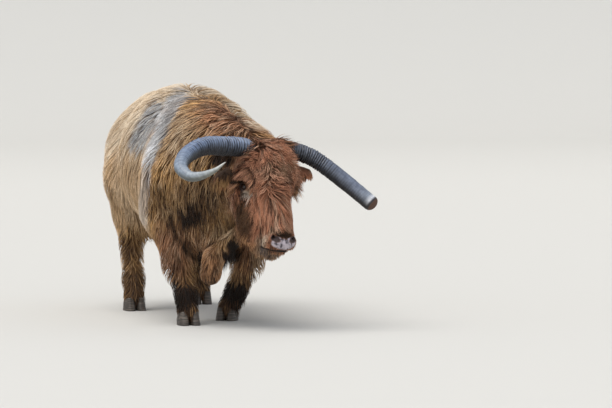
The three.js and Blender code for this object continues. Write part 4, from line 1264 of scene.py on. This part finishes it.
def finish_coat(name, paths, facings, roots, breadth, seed, contrast, thickness, fading=None, **extra):
    """Keeps the locks that leave the eyes free, marks them, and sweeps them into one piece."""
    paths, clear = clear_of_eyes(paths)
    paths, facings, roots = paths[clear], facings[clear], roots[clear]
    steps = paths.shape[1] - 1
    signs = markings(paths[:, (2 * steps + 1) // 3].astype(np.float32))
    for mark, value in extra.items():
        signs[mark] = np.broadcast_to(value, len(clear))[clear]
    # Some locks are less dark than others, but not in the deepest painted shade, which darkens them further.
    some_less = np.random.default_rng(seed + 8).uniform(0.62, 1.15, len(roots))
    deep = np.clip((signs["dark"] * (0.90 + 0.2 * some_less) - 0.90) / 0.36, 0, 1)
    signs["dark"] = np.minimum(signs["dark"], 1) * np.minimum(some_less + deep, 1) + 0.4 * deep
    if fading is not None:  # tips bleached by the sun
        t = np.linspace(0, 1, steps + 1) ** 2
        some = smooth(0.3 + 0.9 * ripple(roots * (1, 1, 0.3), 0.035, seed + 9)) * (1 - deep)
        signs["dark"] = signs["dark"][:, None] * (1 - fading * some[:, None] * t)
        signs["pale"] = np.maximum(signs["pale"][:, None], fading * some[:, None] * t)
    # Painted shade in the folds and hollows, up to nearly black.
    sunk = shade_in_folds(paths.reshape(-1, 3).astype(np.float32)).reshape(len(roots), -1)
    signs["dark"] = np.maximum(signs["dark"].reshape(len(roots), -1), 1.4 * sunk)
    # Painted shade: locks in the deepest shade are given a darker tint.
    tint = shades(roots, seed + 7, contrast) * (1 - 0.85 * deep)
    broad = taper(len(roots), steps, np.broadcast_to(breadth, len(clear))[clear])
    sweep(name, paths, facings, broad, unwrapped(roots), {"tint": tint, **signs}, hair, thickness)


def coat(name, roots, out, length, breadth, steps, seed, pull=0.42, contrast=0.42, fading=None, **how):
    """Grows, gathers and sweeps one piece of the coat."""
    signs = markings(roots)
    length = np.broadcast_to(length, len(roots)) * (1 - 0.45 * signs["grey"] * (1 - signs["white"]))
    how["lift"] = how.get("lift", 0.0) - 0.012 * signs["grey"]
    paths, facings = grow(roots, out, length, steps, seed, **how)
    paths = gather(paths, pull, LYING_BUNCH)
    finish_coat(name, paths, facings, roots, breadth, seed, contrast, LYING_THICKNESS, fading)


hair = hair_finish("weather_hair", 0.50, 0.35, True)

# The trunk, thickest on the right side, with long straight locks that come together into points.
is_right = middles[:, 0] < 0
for i, (label, part, locks, breadth) in enumerate((("right", is_right, 10600, 0.0041),
                                                   ("left", ~is_right, 5600, 0.0053))):
    trunk_roots, trunk_out = rooted(on_trunk & part, locks, 11 + 70 * i)
    drop = smooth((1.14 - trunk_roots[:, 2]) / 0.40)
    is_fore = trunk_roots[:, 1] < 0.66
    for j, (end, half) in enumerate((("fore", is_fore), ("hind", ~is_fore))):
        coat(f"coat_trunk_{label}_{end}", trunk_roots[half], trunk_out[half], (0.140 + 0.110 * drop)[half],
             breadth, 4, 20 + 2 * i + j, wave=0.0022, wavelength=0.120, stray=0.070, pull=0.28,
             contrast=0.34, fading=0.30)

# The neck, long, wavy and hanging, dark below and with its tips bleached by the sun.
neck_roots, neck_out = rooted(on_neck, 7400, 12)
fall = 0.120 + 0.060 * smooth((1.05 - neck_roots[:, 2]) / 0.3)
is_right = neck_roots[:, 0] < 0.06
for i, (label, part) in enumerate((("right", is_right), ("left", ~is_right))):
    coat(f"coat_neck_{label}", neck_roots[part], neck_out[part], fall[part], 0.0041, 5, 30 + i, wave=0.0045,
         wavelength=0.085, lift=0.003, stray=0.12, contrast=0.50, fading=0.50, pull=0.45)

# The legs, with long feathers behind each knee and hock.
leg_roots, leg_out = rooted(on_leg, 6400, 13)
high = smooth((leg_roots[:, 2] - 0.26) / 0.30)
coat("coat_legs", leg_roots, leg_out, 0.060 + 0.065 * high, 0.0030 + 0.0010 * high, 4, 34, wave=0.0020,
     stray=0.10, fading=0.35, pull=0.28)

# The dewlap, with shorter hair.
dewlap_roots, dewlap_out = rooted(on_dewlap, 2400, 14)
coat("coat_dewlap", dewlap_roots, dewlap_out, 0.048, 0.0034, 4, 35, stray=0.15, fading=0.4)

# The head: long straight strands down the nose, curls over the brow, and a shaggy cheek and jaw.
thicker_above = 1 + 0.5 * (middle_head[:, 2] < 0.30)
head_roots, head_out = rooted(on_head & (pad_at(middle_head) < 0.3), 13000, 15, thicker_above)
h = in_head(head_roots)
side = both_sides(h)
from_eye = side - np.array(EYE)
from_eye[:, 2] *= np.where(from_eye[:, 2] > 0, 0.8, 2.0)
eye_gap = np.linalg.norm(from_eye, axis=1)
by_eye = 1 - smooth((eye_gap - 0.030) / 0.060)
lip = smooth((h[:, 2] - 0.44) / 0.05)
patch = spot(side, (0.126, -0.052, 0.244), (0.062, 0.080, 0.062))
nose = smooth((h[:, 2] - 0.225) / 0.05) * smooth((0.096 - side[:, 0]) / 0.03)
nose = nose * smooth((h[:, 1] + 0.085) / 0.05)
crown = smooth((0.255 - h[:, 2]) / 0.06) * smooth((h[:, 1] + 0.10) / 0.05)
cheek = (1 - nose) * (1 - crown)
head_length = 0.085 * cheek + 0.125 * nose + 0.085 * crown * (1 - nose)
under_jaw = smooth((-0.070 - h[:, 1]) / 0.03)
head_length = head_length * (1 - 0.76 * np.maximum(by_eye, patch))
head_length = head_length * (1 - (0.78 - 0.35 * under_jaw) * lip) + 0.004
over_nose = smooth((0.080 - side[:, 0]) / 0.02) * (1 - under_jaw)
short_of_pad = np.clip(0.506 + 0.012 * ripple(side, 0.03, 81) - h[:, 2], 0.012, 1)
head_length = np.where(over_nose > 0.5, np.minimum(head_length, short_of_pad), head_length)
head_lift = -0.034 * by_eye - 0.016 * patch * (1 - by_eye) + (0.001 + 0.004 * under_jaw) * lip
head_wave = (0.0070 * crown + 0.0045 * cheek) * (1 - nose) * (1 - by_eye) * (1 - lip)
head_breadth = (0.0033 - 0.0009 * nose) * (1 - 0.40 * lip) * (1 - 0.40 * by_eye)
keep = (eye_gap > 0.026) & (mouth_line(side) > 0.004)
thirds = (("right", h[:, 0] < -0.045), ("middle", side[:, 0] <= 0.045), ("left", h[:, 0] > 0.045))
for i, (label, part) in enumerate(thirds):
    chosen = part & keep
    coat(f"coat_head_{label}", head_roots[chosen], head_out[chosen], head_length[chosen],
         head_breadth[chosen], 5, 40 + i, wave=head_wave[chosen], wavelength=0.045, pull=0.55,
         stray=0.13, lift=head_lift[chosen], contrast=0.55)


def loose_hair(name, roots, out, way, length, breadth, steps, seed, marks=None, **how):
    """One piece of locks that hang clear of the hide."""
    paths, facings = hang_free(roots, out, way, length, steps, seed, **how)
    paths = gather(paths, 0.5, LOOSE_BUNCH)
    finish_coat(name, paths, facings, roots, breadth, seed, 0.5, LOOSE_THICKNESS, **(marks or {}))


def sideways(roots):
    """The way out to the animal's own left or right from each root on its head."""
    return np.sign(in_head(roots)[:, :1]) * ACROSS


from_midline = np.abs(middle_head[:, 0])

# The hair on the ears, and the tail with its switch.
ear_roots, ear_out = rooted(on_ear, 1400, 16)
loose_hair("coat_ears", ear_roots, ear_out, 0.3 * sideways(ear_roots) + 0.7 * DOWN + 0.35 * ear_out,
           np.where(in_head(ear_roots)[:, 0] < 0, 0.062, 0.032), 0.0026, 4, 50, fall=0.75)

tail_roots, tail_out = rooted(on_tail, 900, 17)
low = smooth((0.62 - tail_roots[:, 2]) / 0.25)
loose_hair("coat_tail", tail_roots, tail_out, DOWN + (0.10 + 0.35 * low)[:, None] * tail_out,
           0.085 + 0.150 * low, 0.0042, 5, 51, fall=0.6)

# The crown's long hair, which falls to the left from the poll.
on_poll = on_head & (np.abs(middle_head[:, 0] + 0.01) < 0.13) & (np.abs(middle_head[:, 2] + 0.010) < 0.035)
poll_roots, poll_out = rooted(on_poll & (middle_head[:, 1] > -0.12), 620, 18)
loose_hair("coat_poll", poll_roots, poll_out, 1.0 * ACROSS - 0.55 * DOWN + 0.10 * poll_out, 0.140, 0.0034, 6,
           52, fall=0.40, curl=0.12, stray=0.10, marks={"red": 0.9, "dark": 0.75})

# The brisket's lower hair, in the shade between the forelegs, painted nearly black as painted shade.
on_brisket = (on_trunk | on_neck) & (middles[:, 2] < 0.46) & (np.abs(middles[:, 0] - 0.04) < 0.13)
on_brisket &= (middles[:, 1] > -0.34) & (middles[:, 1] < 0.06)
brisket_roots, brisket_out = rooted(on_brisket, 700, 23)
loose_hair("coat_brisket", brisket_roots, brisket_out, DOWN + 0.15 * brisket_out, 0.125, 0.0042, 4, 58,
           fall=0.8, marks={"dark": 1.2})

# Tufts that lap over the roots of the horns, and the beard under the jaw.
by_horn = on_head & (np.abs(from_midline - 0.090) < 0.026) & (np.abs(middle_head[:, 2] - 0.025) < 0.080)
tuft_roots, tuft_out = rooted(by_horn & (middle_head[:, 1] > -0.10), 700, 21)
tuft_way = 1.0 * sideways(tuft_roots) + 0.70 * tuft_out + 0.05 * ALONG
loose_hair("coat_round_horns", tuft_roots, tuft_out, tuft_way, 0.085, 0.0030, 5, 56, fall=0.30, curl=0.25,
           stray=0.14)

on_jaw = on_head & (middle_head[:, 1] < -0.110) & (middle_head[:, 2] > 0.26) & (middle_head[:, 2] < 0.50)
jaw_roots, jaw_out = rooted(on_jaw, 1100, 22)
loose_hair("coat_beard", jaw_roots, jaw_out, 0.9 * ALONG - 0.43 * HEAD[1] + 0.35 * jaw_out, 0.072, 0.0030, 5,
           57, fall=0.3, curl=0.15, stray=0.10)

# The brows, which hang down and outwards over the eyes.
by_brow = on_head & (np.abs(from_midline - 0.130) < 0.034) & (np.abs(middle_head[:, 2] - 0.145) < 0.045)
brow_roots, brow_out = rooted(by_brow & (middle_head[:, 1] > -0.12), 1000, 20)
brow_way = 1.0 * sideways(brow_roots) + 0.45 * ALONG + 0.4 * brow_out
loose_hair("coat_brows", brow_roots, brow_out, brow_way, 0.105, 0.0028, 5, 55, fall=0.45, curl=0.2,
           stray=0.12, marks={"dark": 0.0, "pale": 0.10, "grey": 0.0})

# The hair that hangs over the upper edges of the claws.
by_claws = (leg_gap < torso_gap) & (middles[:, 2] < 0.130) & (middles[:, 2] > 0.045)
coronet_roots, coronet_out = rooted(by_claws, 900, 19)
loose_hair("coat_coronets", coronet_roots, coronet_out, DOWN + 0.45 * coronet_out, 0.055, 0.0028, 4, 53,
           fall=0.6, marks={"dark": 0.96})

# Short, soft hair round the lips and over the chin.
by_lips = on_head & (middle_head[:, 2] > 0.462) & (middle_head[:, 1] < -0.012)
by_lips &= (mouth_line(both_sides(middle_head)) > 0.003) & (pad_at(middle_head) < 0.2)
lip_roots, lip_out = rooted(by_lips, 1900, 24)
lip_way = 0.5 * ALONG + 0.45 * DOWN - 0.5 * HEAD[1] + 0.5 * lip_out
loose_hair("coat_lips", lip_roots, lip_out, lip_way, 0.020, 0.0018, 4, 59, fall=0.5, stray=0.25)

# Lashes along each upper lid.
LASHES = 30  # on each side
turns = np.tile(np.linspace(-1.15, 1.15, LASHES), 2)
flip = np.repeat((-1.0, 1.0), LASHES)[:, None] * (1, 0, 0) + (0, 1, 1)
lid_up = SOCKET[1] * np.sign(SOCKET[1] @ (0, 0.43, -0.90))
lash = EYE + 0.0200 * GAZE + np.outer(0.0125 * np.cos(turns), lid_up)
lash = lash + np.outer(0.0205 * np.sin(turns), SOCKET[2])
lash_roots = from_head(lash * flip).astype(float)
lash_out = from_head((lash + GAZE * 0.6 + lid_up * 0.8) * flip) - lash_roots
lash_out /= np.linalg.norm(lash_out, axis=1, keepdims=True)
paths, facings = hang_free(lash_roots, lash_out, lash_out, 0.011, 4, 54, fall=0.45, stray=0.10)
marks = markings(lash_roots) | {"dark": np.full(2 * LASHES, 0.9), "tint": np.full(2 * LASHES, 0.1)}
sweep("lashes", paths, facings, taper(2 * LASHES, 4, 0.0009), unwrapped(lash_roots), marks, hair, 0.8)

# ---- Horns ---------------------------------------------------------------------------------------
# Two hollow sheaths of horn over bone cores, ringed near the head where they grew slowly. The right one curls
# back to a pale point. The left one has lost its point, and ends in a worn, brown stump.
HORNS = {  # the line up the middle of each, in the head's axes
    "right": [
        (-0.030, -0.078, 0.012), (-0.112, -0.030, 0.000), (-0.263, -0.010, 0.004), (-0.400, 0.020, 0.028),
        (-0.538, 0.060, 0.105), (-0.620, 0.120, 0.208), (-0.605, 0.190, 0.284), (-0.520, 0.245, 0.276),
        (-0.448, 0.280, 0.232),
    ],
    "left": [
        (0.030, -0.074, 0.010), (0.108, -0.030, -0.007), (0.246, -0.010, 0.028), (0.316, 0.000, 0.074),
        (0.439, 0.030, 0.199), (0.554, 0.078, 0.346),
    ],
}
RIDGE_SPACING = {"right": 0.0165, "left": 0.0135}


def even_steps(line, count):
    """The same line again, with its points evenly far apart, and its length."""
    gone = np.concatenate(([0], np.cumsum(np.linalg.norm(np.diff(line, axis=0), axis=1))))
    places = np.linspace(0, gone[-1], count)
    return np.column_stack([np.interp(places, gone, line[:, k]) for k in range(3)]), places


def tone(tree, stops, value):
    """A node that turns a value from 0 to 1 into one of a row of colours."""
    ramp = tree.nodes.new("ShaderNodeValToRGB")
    ramp.color_ramp.elements.remove(ramp.color_ramp.elements[1])
    for i, (place, colour) in enumerate(stops):
        stop = ramp.color_ramp.elements[0] if i == 0 else ramp.color_ramp.elements.new(place)
        stop.position, stop.color = place, (*colour, 1)
    tree.links.new(value, ramp.inputs["Fac"])
    return ramp.outputs["Color"]


def horn_finish(name, upper, under, flake_rows):
    """Horn with painted light where it faces up and painted shade below, with grain along it and rings round
    it.
    """
    material, tree, shader = new_finish(name)
    names = ("along", "around", "above", "ridge", "worn")
    along, around, above, ridge, worn = (read_number(tree, n) for n in names)
    grain = clouds(tree, weighed(tree, (((around, 24.0),), ((along, 9.0),))), 1.0, 4.0)
    flakes = clouds(tree, weighed(tree, (((around, 7.0),), ((along, flake_rows),))), 1.0, 5.0)
    streaky = spread_out(tree, 0.32, 0.68, grain)
    flaky = spread_out(tree, 0.34, 0.66, flakes)
    colour = blend_colours(tree, "MIX", above, tone(tree, under, along), tone(tree, upper, along))
    colour = blend_colours(tree, "MULTIPLY", mixed(tree, streaky, 0.55, 0.0), colour, (0.45, 0.44, 0.46))
    colour = blend_colours(tree, "MULTIPLY", mixed(tree, flaky, 0.60, 0.0), colour, (0.40, 0.40, 0.44))
    colour = blend_colours(tree, "MULTIPLY", ridge, colour, (0.13, 0.13, 0.15))
    colour = blend_colours(tree, "MIX", worn, colour, WORN_HORN)
    tree.links.new(colour, shader.inputs["Base Color"])
    tree.links.new(mixed(tree, worn, 0.40, 0.75), shader.inputs["Roughness"])
    raise_by(tree, shader, mixed(tree, streaky, 0.0, flaky), 0.5, 0.0015)
    return material


WORN_HORN = (0.085, 0.042, 0.026)
# Colours along each horn: lit tones for its upper side and shaded ones for its underside, as painted light
# and shade.
UPPER_RIGHT_LIT = [(0.0, (0.20, 0.22, 0.27)), (0.16, (0.26, 0.33, 0.47)), (0.52, (0.18, 0.25, 0.39)),
               (0.74, (0.29, 0.35, 0.42)), (0.93, (0.47, 0.50, 0.47)), (1.0, (0.84, 0.82, 0.74))]
UNDER_RIGHT_SHADED = [(0.0, (0.011, 0.011, 0.013)), (0.45, (0.022, 0.025, 0.034)), (0.75, (0.10, 0.12, 0.12)),
               (1.0, (0.35, 0.34, 0.27))]
# The left horn's lit tones have a painted highlight in a pale band just before its stump.
UPPER_LEFT_LIT = [(0.0, (0.12, 0.135, 0.17)), (0.40, (0.13, 0.155, 0.21)), (0.80, (0.17, 0.20, 0.27)),
              (0.91, (0.26, 0.30, 0.36)), (0.945, (0.84, 0.86, 0.89)), (0.958, (0.03, 0.025, 0.03))]
UNDER_LEFT_SHADED = [(0.0, (0.010, 0.010, 0.012)), (0.60, (0.022, 0.023, 0.028)), (1.0, (0.030, 0.025, 0.024))]

# The side, the steps along it, how far the rings reach, how deep they are, the rows of flakes, the lit and
# the shaded colours.
HORN_TABLE = (
    ("right", 560, 0.66, 0.0060, 60.0, UPPER_RIGHT_LIT, UNDER_RIGHT_SHADED),
    ("left", 320, 0.42, 0.0046, 34.0, UPPER_LEFT_LIT, UNDER_LEFT_SHADED),
)
for label, steps, ridged_for, relief, flake_rows, lit_tones, shaded_tones in HORN_TABLE:
    line, places = even_steps(curve_through([from_head(c) for c in HORNS[label]], 400), steps)
    t = places / places[-1]
    if label == "right":
        radius = 0.0525 * np.maximum(1 - t**2.5, 0.003) ** 0.80 * (0.45 + 0.55 * smooth(places / 0.115))
    else:
        end = np.maximum(1 - np.maximum(0, (t - 0.955) / 0.047) ** 2, 0.002)
        radius = (0.049 - 0.008 * t) * np.sqrt(end)
    rng = np.random.default_rng(60 + steps)
    bend = np.cumsum(rng.normal(0, 0.35, steps)) * 0.12
    swell = 0.5 + 0.5 * np.sin(2 * math.pi * places / RIDGE_SPACING[label] + bend)
    ridged = 1 - smooth((places - 0.55 * ridged_for) / (0.6 * ridged_for))
    uneven = np.interp(places, np.arange(0, 2, 0.011), rng.normal(size=182))
    ridged = ridged * np.clip(0.95 + 0.45 * uneven, 0.35, 1.5)
    ridged = np.maximum(ridged, 0.10 * smooth((0.93 - t) / 0.05))
    radius = radius - relief * ridged * (1 - swell) ** 2
    radius = radius - 0.0006 * smooth((t - 0.958) / 0.004) * (label == "left")
    tangent = np.gradient(line, axis=0)
    tangent /= np.linalg.norm(tangent, axis=1, keepdims=True)
    facing = along_hide(np.broadcast_to(-HEAD[1].astype(float), line.shape), tangent)
    groove = np.minimum(ridged * (1 - swell) ** 1.4, 1)
    stump = smooth((t - 0.966) / 0.006) * (label == "left")
    marks = {"ridge": groove[None], "worn": stump[None]}
    finish = horn_finish(f"horn_{label}", lit_tones, shaded_tones, flake_rows)
    horn = sweep(f"horn_{label}", line[None], facing[None], radius[None], np.zeros((1, 2)), marks, finish,
                 1.0, sides=44)
    solid = horn.data
    solid.uv_layers.remove(solid.uv_layers["OFBake"])
    normals, skin = np.empty((2, len(solid.vertices), 3), np.float32)
    solid.vertex_normals.foreach_get("vector", normals.ravel())
    solid.vertices.foreach_get("co", skin.ravel())
    gone = np.interp(np.array([d.value for d in solid.attributes["along"].data]), t, ridged)
    rough = 0.0016 * ripple(skin, 0.016, 71) * gone + 0.0006 * ripple(skin, 0.05, 72)
    solid.vertices.foreach_set("co", (skin + normals * rough[:, None]).ravel())
    # How far the horn faces up, which blends its painted shade below into its painted light above.
    note(solid, above=smooth((normals @ np.array((-0.25, -0.25, 0.94), np.float32) + 0.15) / 0.9))
    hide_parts(f"{label}_horn")

# ---- Claws ---------------------------------------------------------------------------------------
# Two claws of dark, dull horn on each foot, with the rings they grew in. They cap the two toes at the ends of
# the hide and stand flat on their soles, and the hair of the coronets hangs over their upper edges.
HOOVES = {  # the middle of each foot on the floor, and how far it is turned, in degrees
    "right_fore": (-0.136, -0.158, 2),
    "left_fore": (0.134, 0.118, -24),
    "right_hind": (-0.222, 0.922, 6),
    "left_hind": (0.246, 1.318, -6),
}
CORONET_HEIGHT, HEEL_HEIGHT, HOOF_LENGTH, WALL_LEAN = 0.074, 0.048, 0.132, 0.034
CLAW_WIDTH, CLEFT, CLAW_SIDES = 0.056, 0.007, 48

CLAW_TONES = [(0.0, (0.022, 0.017, 0.014)), (0.6, (0.060, 0.048, 0.038)), (1.0, (0.140, 0.115, 0.090))]

claw_finish, tree, shader = new_finish("claw_horn", Roughness=0.55)
layers = clouds(tree, places_on(tree, (20.0, 20.0, 160.0)), 1.0, 4.0)
layered = spread_out(tree, 0.30, 0.70, layers)
tree.links.new(tone(tree, CLAW_TONES, layered), shader.inputs["Base Color"])
raise_by(tree, shader, layered, 0.4, 0.001)

angle = np.linspace(0, 2 * math.pi, CLAW_SIDES, endpoint=False)
round_side = np.sign(np.sin(angle)) * np.abs(np.sin(angle)) ** 0.6
to_toe = 0.5 - 0.5 * np.cos(angle)
for leg, (hoof_x, hoof_y, heading) in HOOVES.items():
    corners, faces = [], []
    turn = math.radians(heading)
    for outwards_to in (-1, 1):
        start = len(corners)
        for rise in (0.0, 0.03, *np.linspace(0.10, 1.0, 15)):
            growth = 0.0007 * math.sin(rise * 40) * (0.1 < rise < 1) - 0.0016 * (rise == 0)
            across = CLEFT / 2 + CLAW_WIDTH * (0.5 + 0.5 * round_side) * (1 - 0.1 * rise)
            across = across + growth * round_side
            forward = HOOF_LENGTH * (0.5 - to_toe) + WALL_LEAN * rise * to_toe + growth * np.cos(angle)
            height = rise * (HEEL_HEIGHT + (CORONET_HEIGHT - HEEL_HEIGHT) * to_toe)
            x, y = across * outwards_to, forward
            corners += list(zip(hoof_x + x * math.cos(turn) - y * math.sin(turn),
                                hoof_y + x * math.sin(turn) + y * math.cos(turn), height))
        count = (len(corners) - start) // CLAW_SIDES
        for ring in range(count - 1):
            for i in range(CLAW_SIDES):
                row = start + ring * CLAW_SIDES
                a, b = row + i, row + (i + 1) % CLAW_SIDES
                faces.append((a, b, b + CLAW_SIDES, a + CLAW_SIDES)[::outwards_to])
        sole = range(start, start + CLAW_SIDES)
        top = range(len(corners) - CLAW_SIDES, len(corners))
        faces += [tuple(sole)[::-outwards_to], tuple(top)[::outwards_to]]
    name = leg + "_claws"
    mesh = bpy.data.meshes.new(name)
    mesh.from_pydata(np.array(corners) + HOME, [], faces)
    claws = add_to_scene(name, mesh)
    mesh.shade_smooth()
    mesh.materials.append(claw_finish)
    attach(claws, "root")
    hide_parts(leg + "_outer_claw", leg + "_inner_claw")

# ---- Eyes ----------------------------------------------------------------------------------------
# Glass eyes, set behind the lids: a brown iris with darker fibres round a long level pupil, the dull rim of
# the eyeball beyond it, and a clear, bright cornea over them all.
PUPIL_LENGTH, PUPIL_HEIGHT, IRIS_RADIUS = 0.0068, 0.0030, 0.0120
PUPIL, EYE_RIM = (0.003, 0.002, 0.002), (0.042, 0.025, 0.021)

eye_finish, tree, shader = new_finish("eye_glass", Roughness=0.10, Specular_IOR_Level=0.35, Coat_Weight=0.25,
                                      Coat_Roughness=0.03)
level, upright, spread = (read_number(tree, n) for n in ("level", "upright", "spread"))
fibres = clouds(tree, weighed(tree, (((level, 9.0),), ((upright, 9.0),), ((spread, 1.5),))))
iris = tone(tree, [(0.35, (0.014, 0.006, 0.004)), (0.70, (0.052, 0.021, 0.010))], fibres)
iris = blend_colours(tree, "MIX", read_number(tree, "rim"), iris, EYE_RIM)
pupil = read_number(tree, "pupil")
tree.links.new(blend_colours(tree, "MIX", pupil, iris, PUPIL), shader.inputs["Base Color"])
for side, label in ((-1, "right"), (1, "left")):
    ball = bmesh.new()
    bmesh.ops.create_icosphere(ball, subdivisions=5, radius=EYE_RADIUS)
    place = np.array([v.co for v in ball.verts], np.float32) @ HEAD.T * (side, 1, 1)
    outward, level, upright = (place @ SOCKET.T)[:, [0, 2, 1]].T
    gone = np.hypot(level, upright) + 1e-6
    mesh = bpy.data.meshes.new(f"eye_{label}")
    ball.to_mesh(mesh)
    ball.free()
    note(mesh, level=level / gone, upright=upright / gone, spread=gone / IRIS_RADIUS,
         pupil=smooth(3 - 3 * np.hypot(level / PUPIL_LENGTH, upright / PUPIL_HEIGHT)) * (outward > 0),
         rim=np.where(outward > 0, smooth((gone - IRIS_RADIUS) / 0.0016), 1))
    mesh.transform(Matrix.Translation(from_head((side * EYE[0], EYE[1], EYE[2])) + HOME))
    mesh.shade_smooth()
    mesh.materials.append(eye_finish)
    eye = add_to_scene(f"eye_{label}", mesh)
    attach(eye, "root")
    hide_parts(f"{label}_eye")

# ---- Floor, light and camera ---------------------------------------------------------------------
# A pale painted floor that turns up softly far behind the animal, under three soft lamps: a broad one
# overhead, a weaker one in front, and a warm one behind that lights the rim of the coat.
floor_mesh = bpy.data.meshes.new("floor")
upturn = [(30 + 8 * math.sin(a), 8 - 8 * math.cos(a)) for a in np.linspace(0.1, 1.57, 12)]
run = [(-120.0, 0.0), (30.0, 0.0), *upturn, (38.0, 60.0)]
points = [(x, y, z) for y, z in run for x in (-120.0, 120.0)]
strips = [(2 * i, 2 * i + 1, 2 * i + 3, 2 * i + 2) for i in range(len(run) - 1)]
floor_mesh.from_pydata(points, [], strips)
floor_mesh.shade_smooth()
floor = add_to_scene("floor", floor_mesh)
floor_mesh.materials.append(new_finish("pale_floor", Base_Color=(0.56, 0.55, 0.52, 1), Roughness=0.95)[0])

world = bpy.data.worlds.new("studio")
bpy.context.scene.world = world
world.use_nodes = True
world.node_tree.nodes["Background"].inputs["Color"].default_value = (0.86, 0.91, 1.0, 1)
world.node_tree.nodes["Background"].inputs["Strength"].default_value = 0.72


def lamp(name, aim, softness, strength, colour):
    """A distant, soft lamp; aim is the way its light travels, and softness its width in degrees."""
    light = bpy.data.lights.new(name, "SUN")
    light.angle, light.energy, light.color = math.radians(softness), strength, colour
    add_to_scene(name, light).rotation_euler = Vector(aim).to_track_quat("-Z", "Y").to_euler()


lamp("overhead", (0.35, 0.10, -1.0), 50, 2.5, (1.0, 0.97, 0.93))
lamp("front", (0.30, 1.0, -0.45), 60, 0.6, (1.0, 0.98, 0.95))
lamp("rim", (0.8, -1.0, -0.7), 40, 0.8, (1.0, 0.94, 0.85))

lens = bpy.data.cameras.new("camera")
lens.lens, lens.sensor_width, lens.clip_end = 220.6, 36.0, 200.0
camera = add_to_scene("camera", lens)
camera.location = np.array((-4.19, -19.73, 1.6)) + HOME
camera.rotation_euler = (math.radians(90 - 2.73), 0, math.radians(-13.5))
bpy.context.scene.camera = camera
bpy.context.scene.view_settings.view_transform = "Standard"
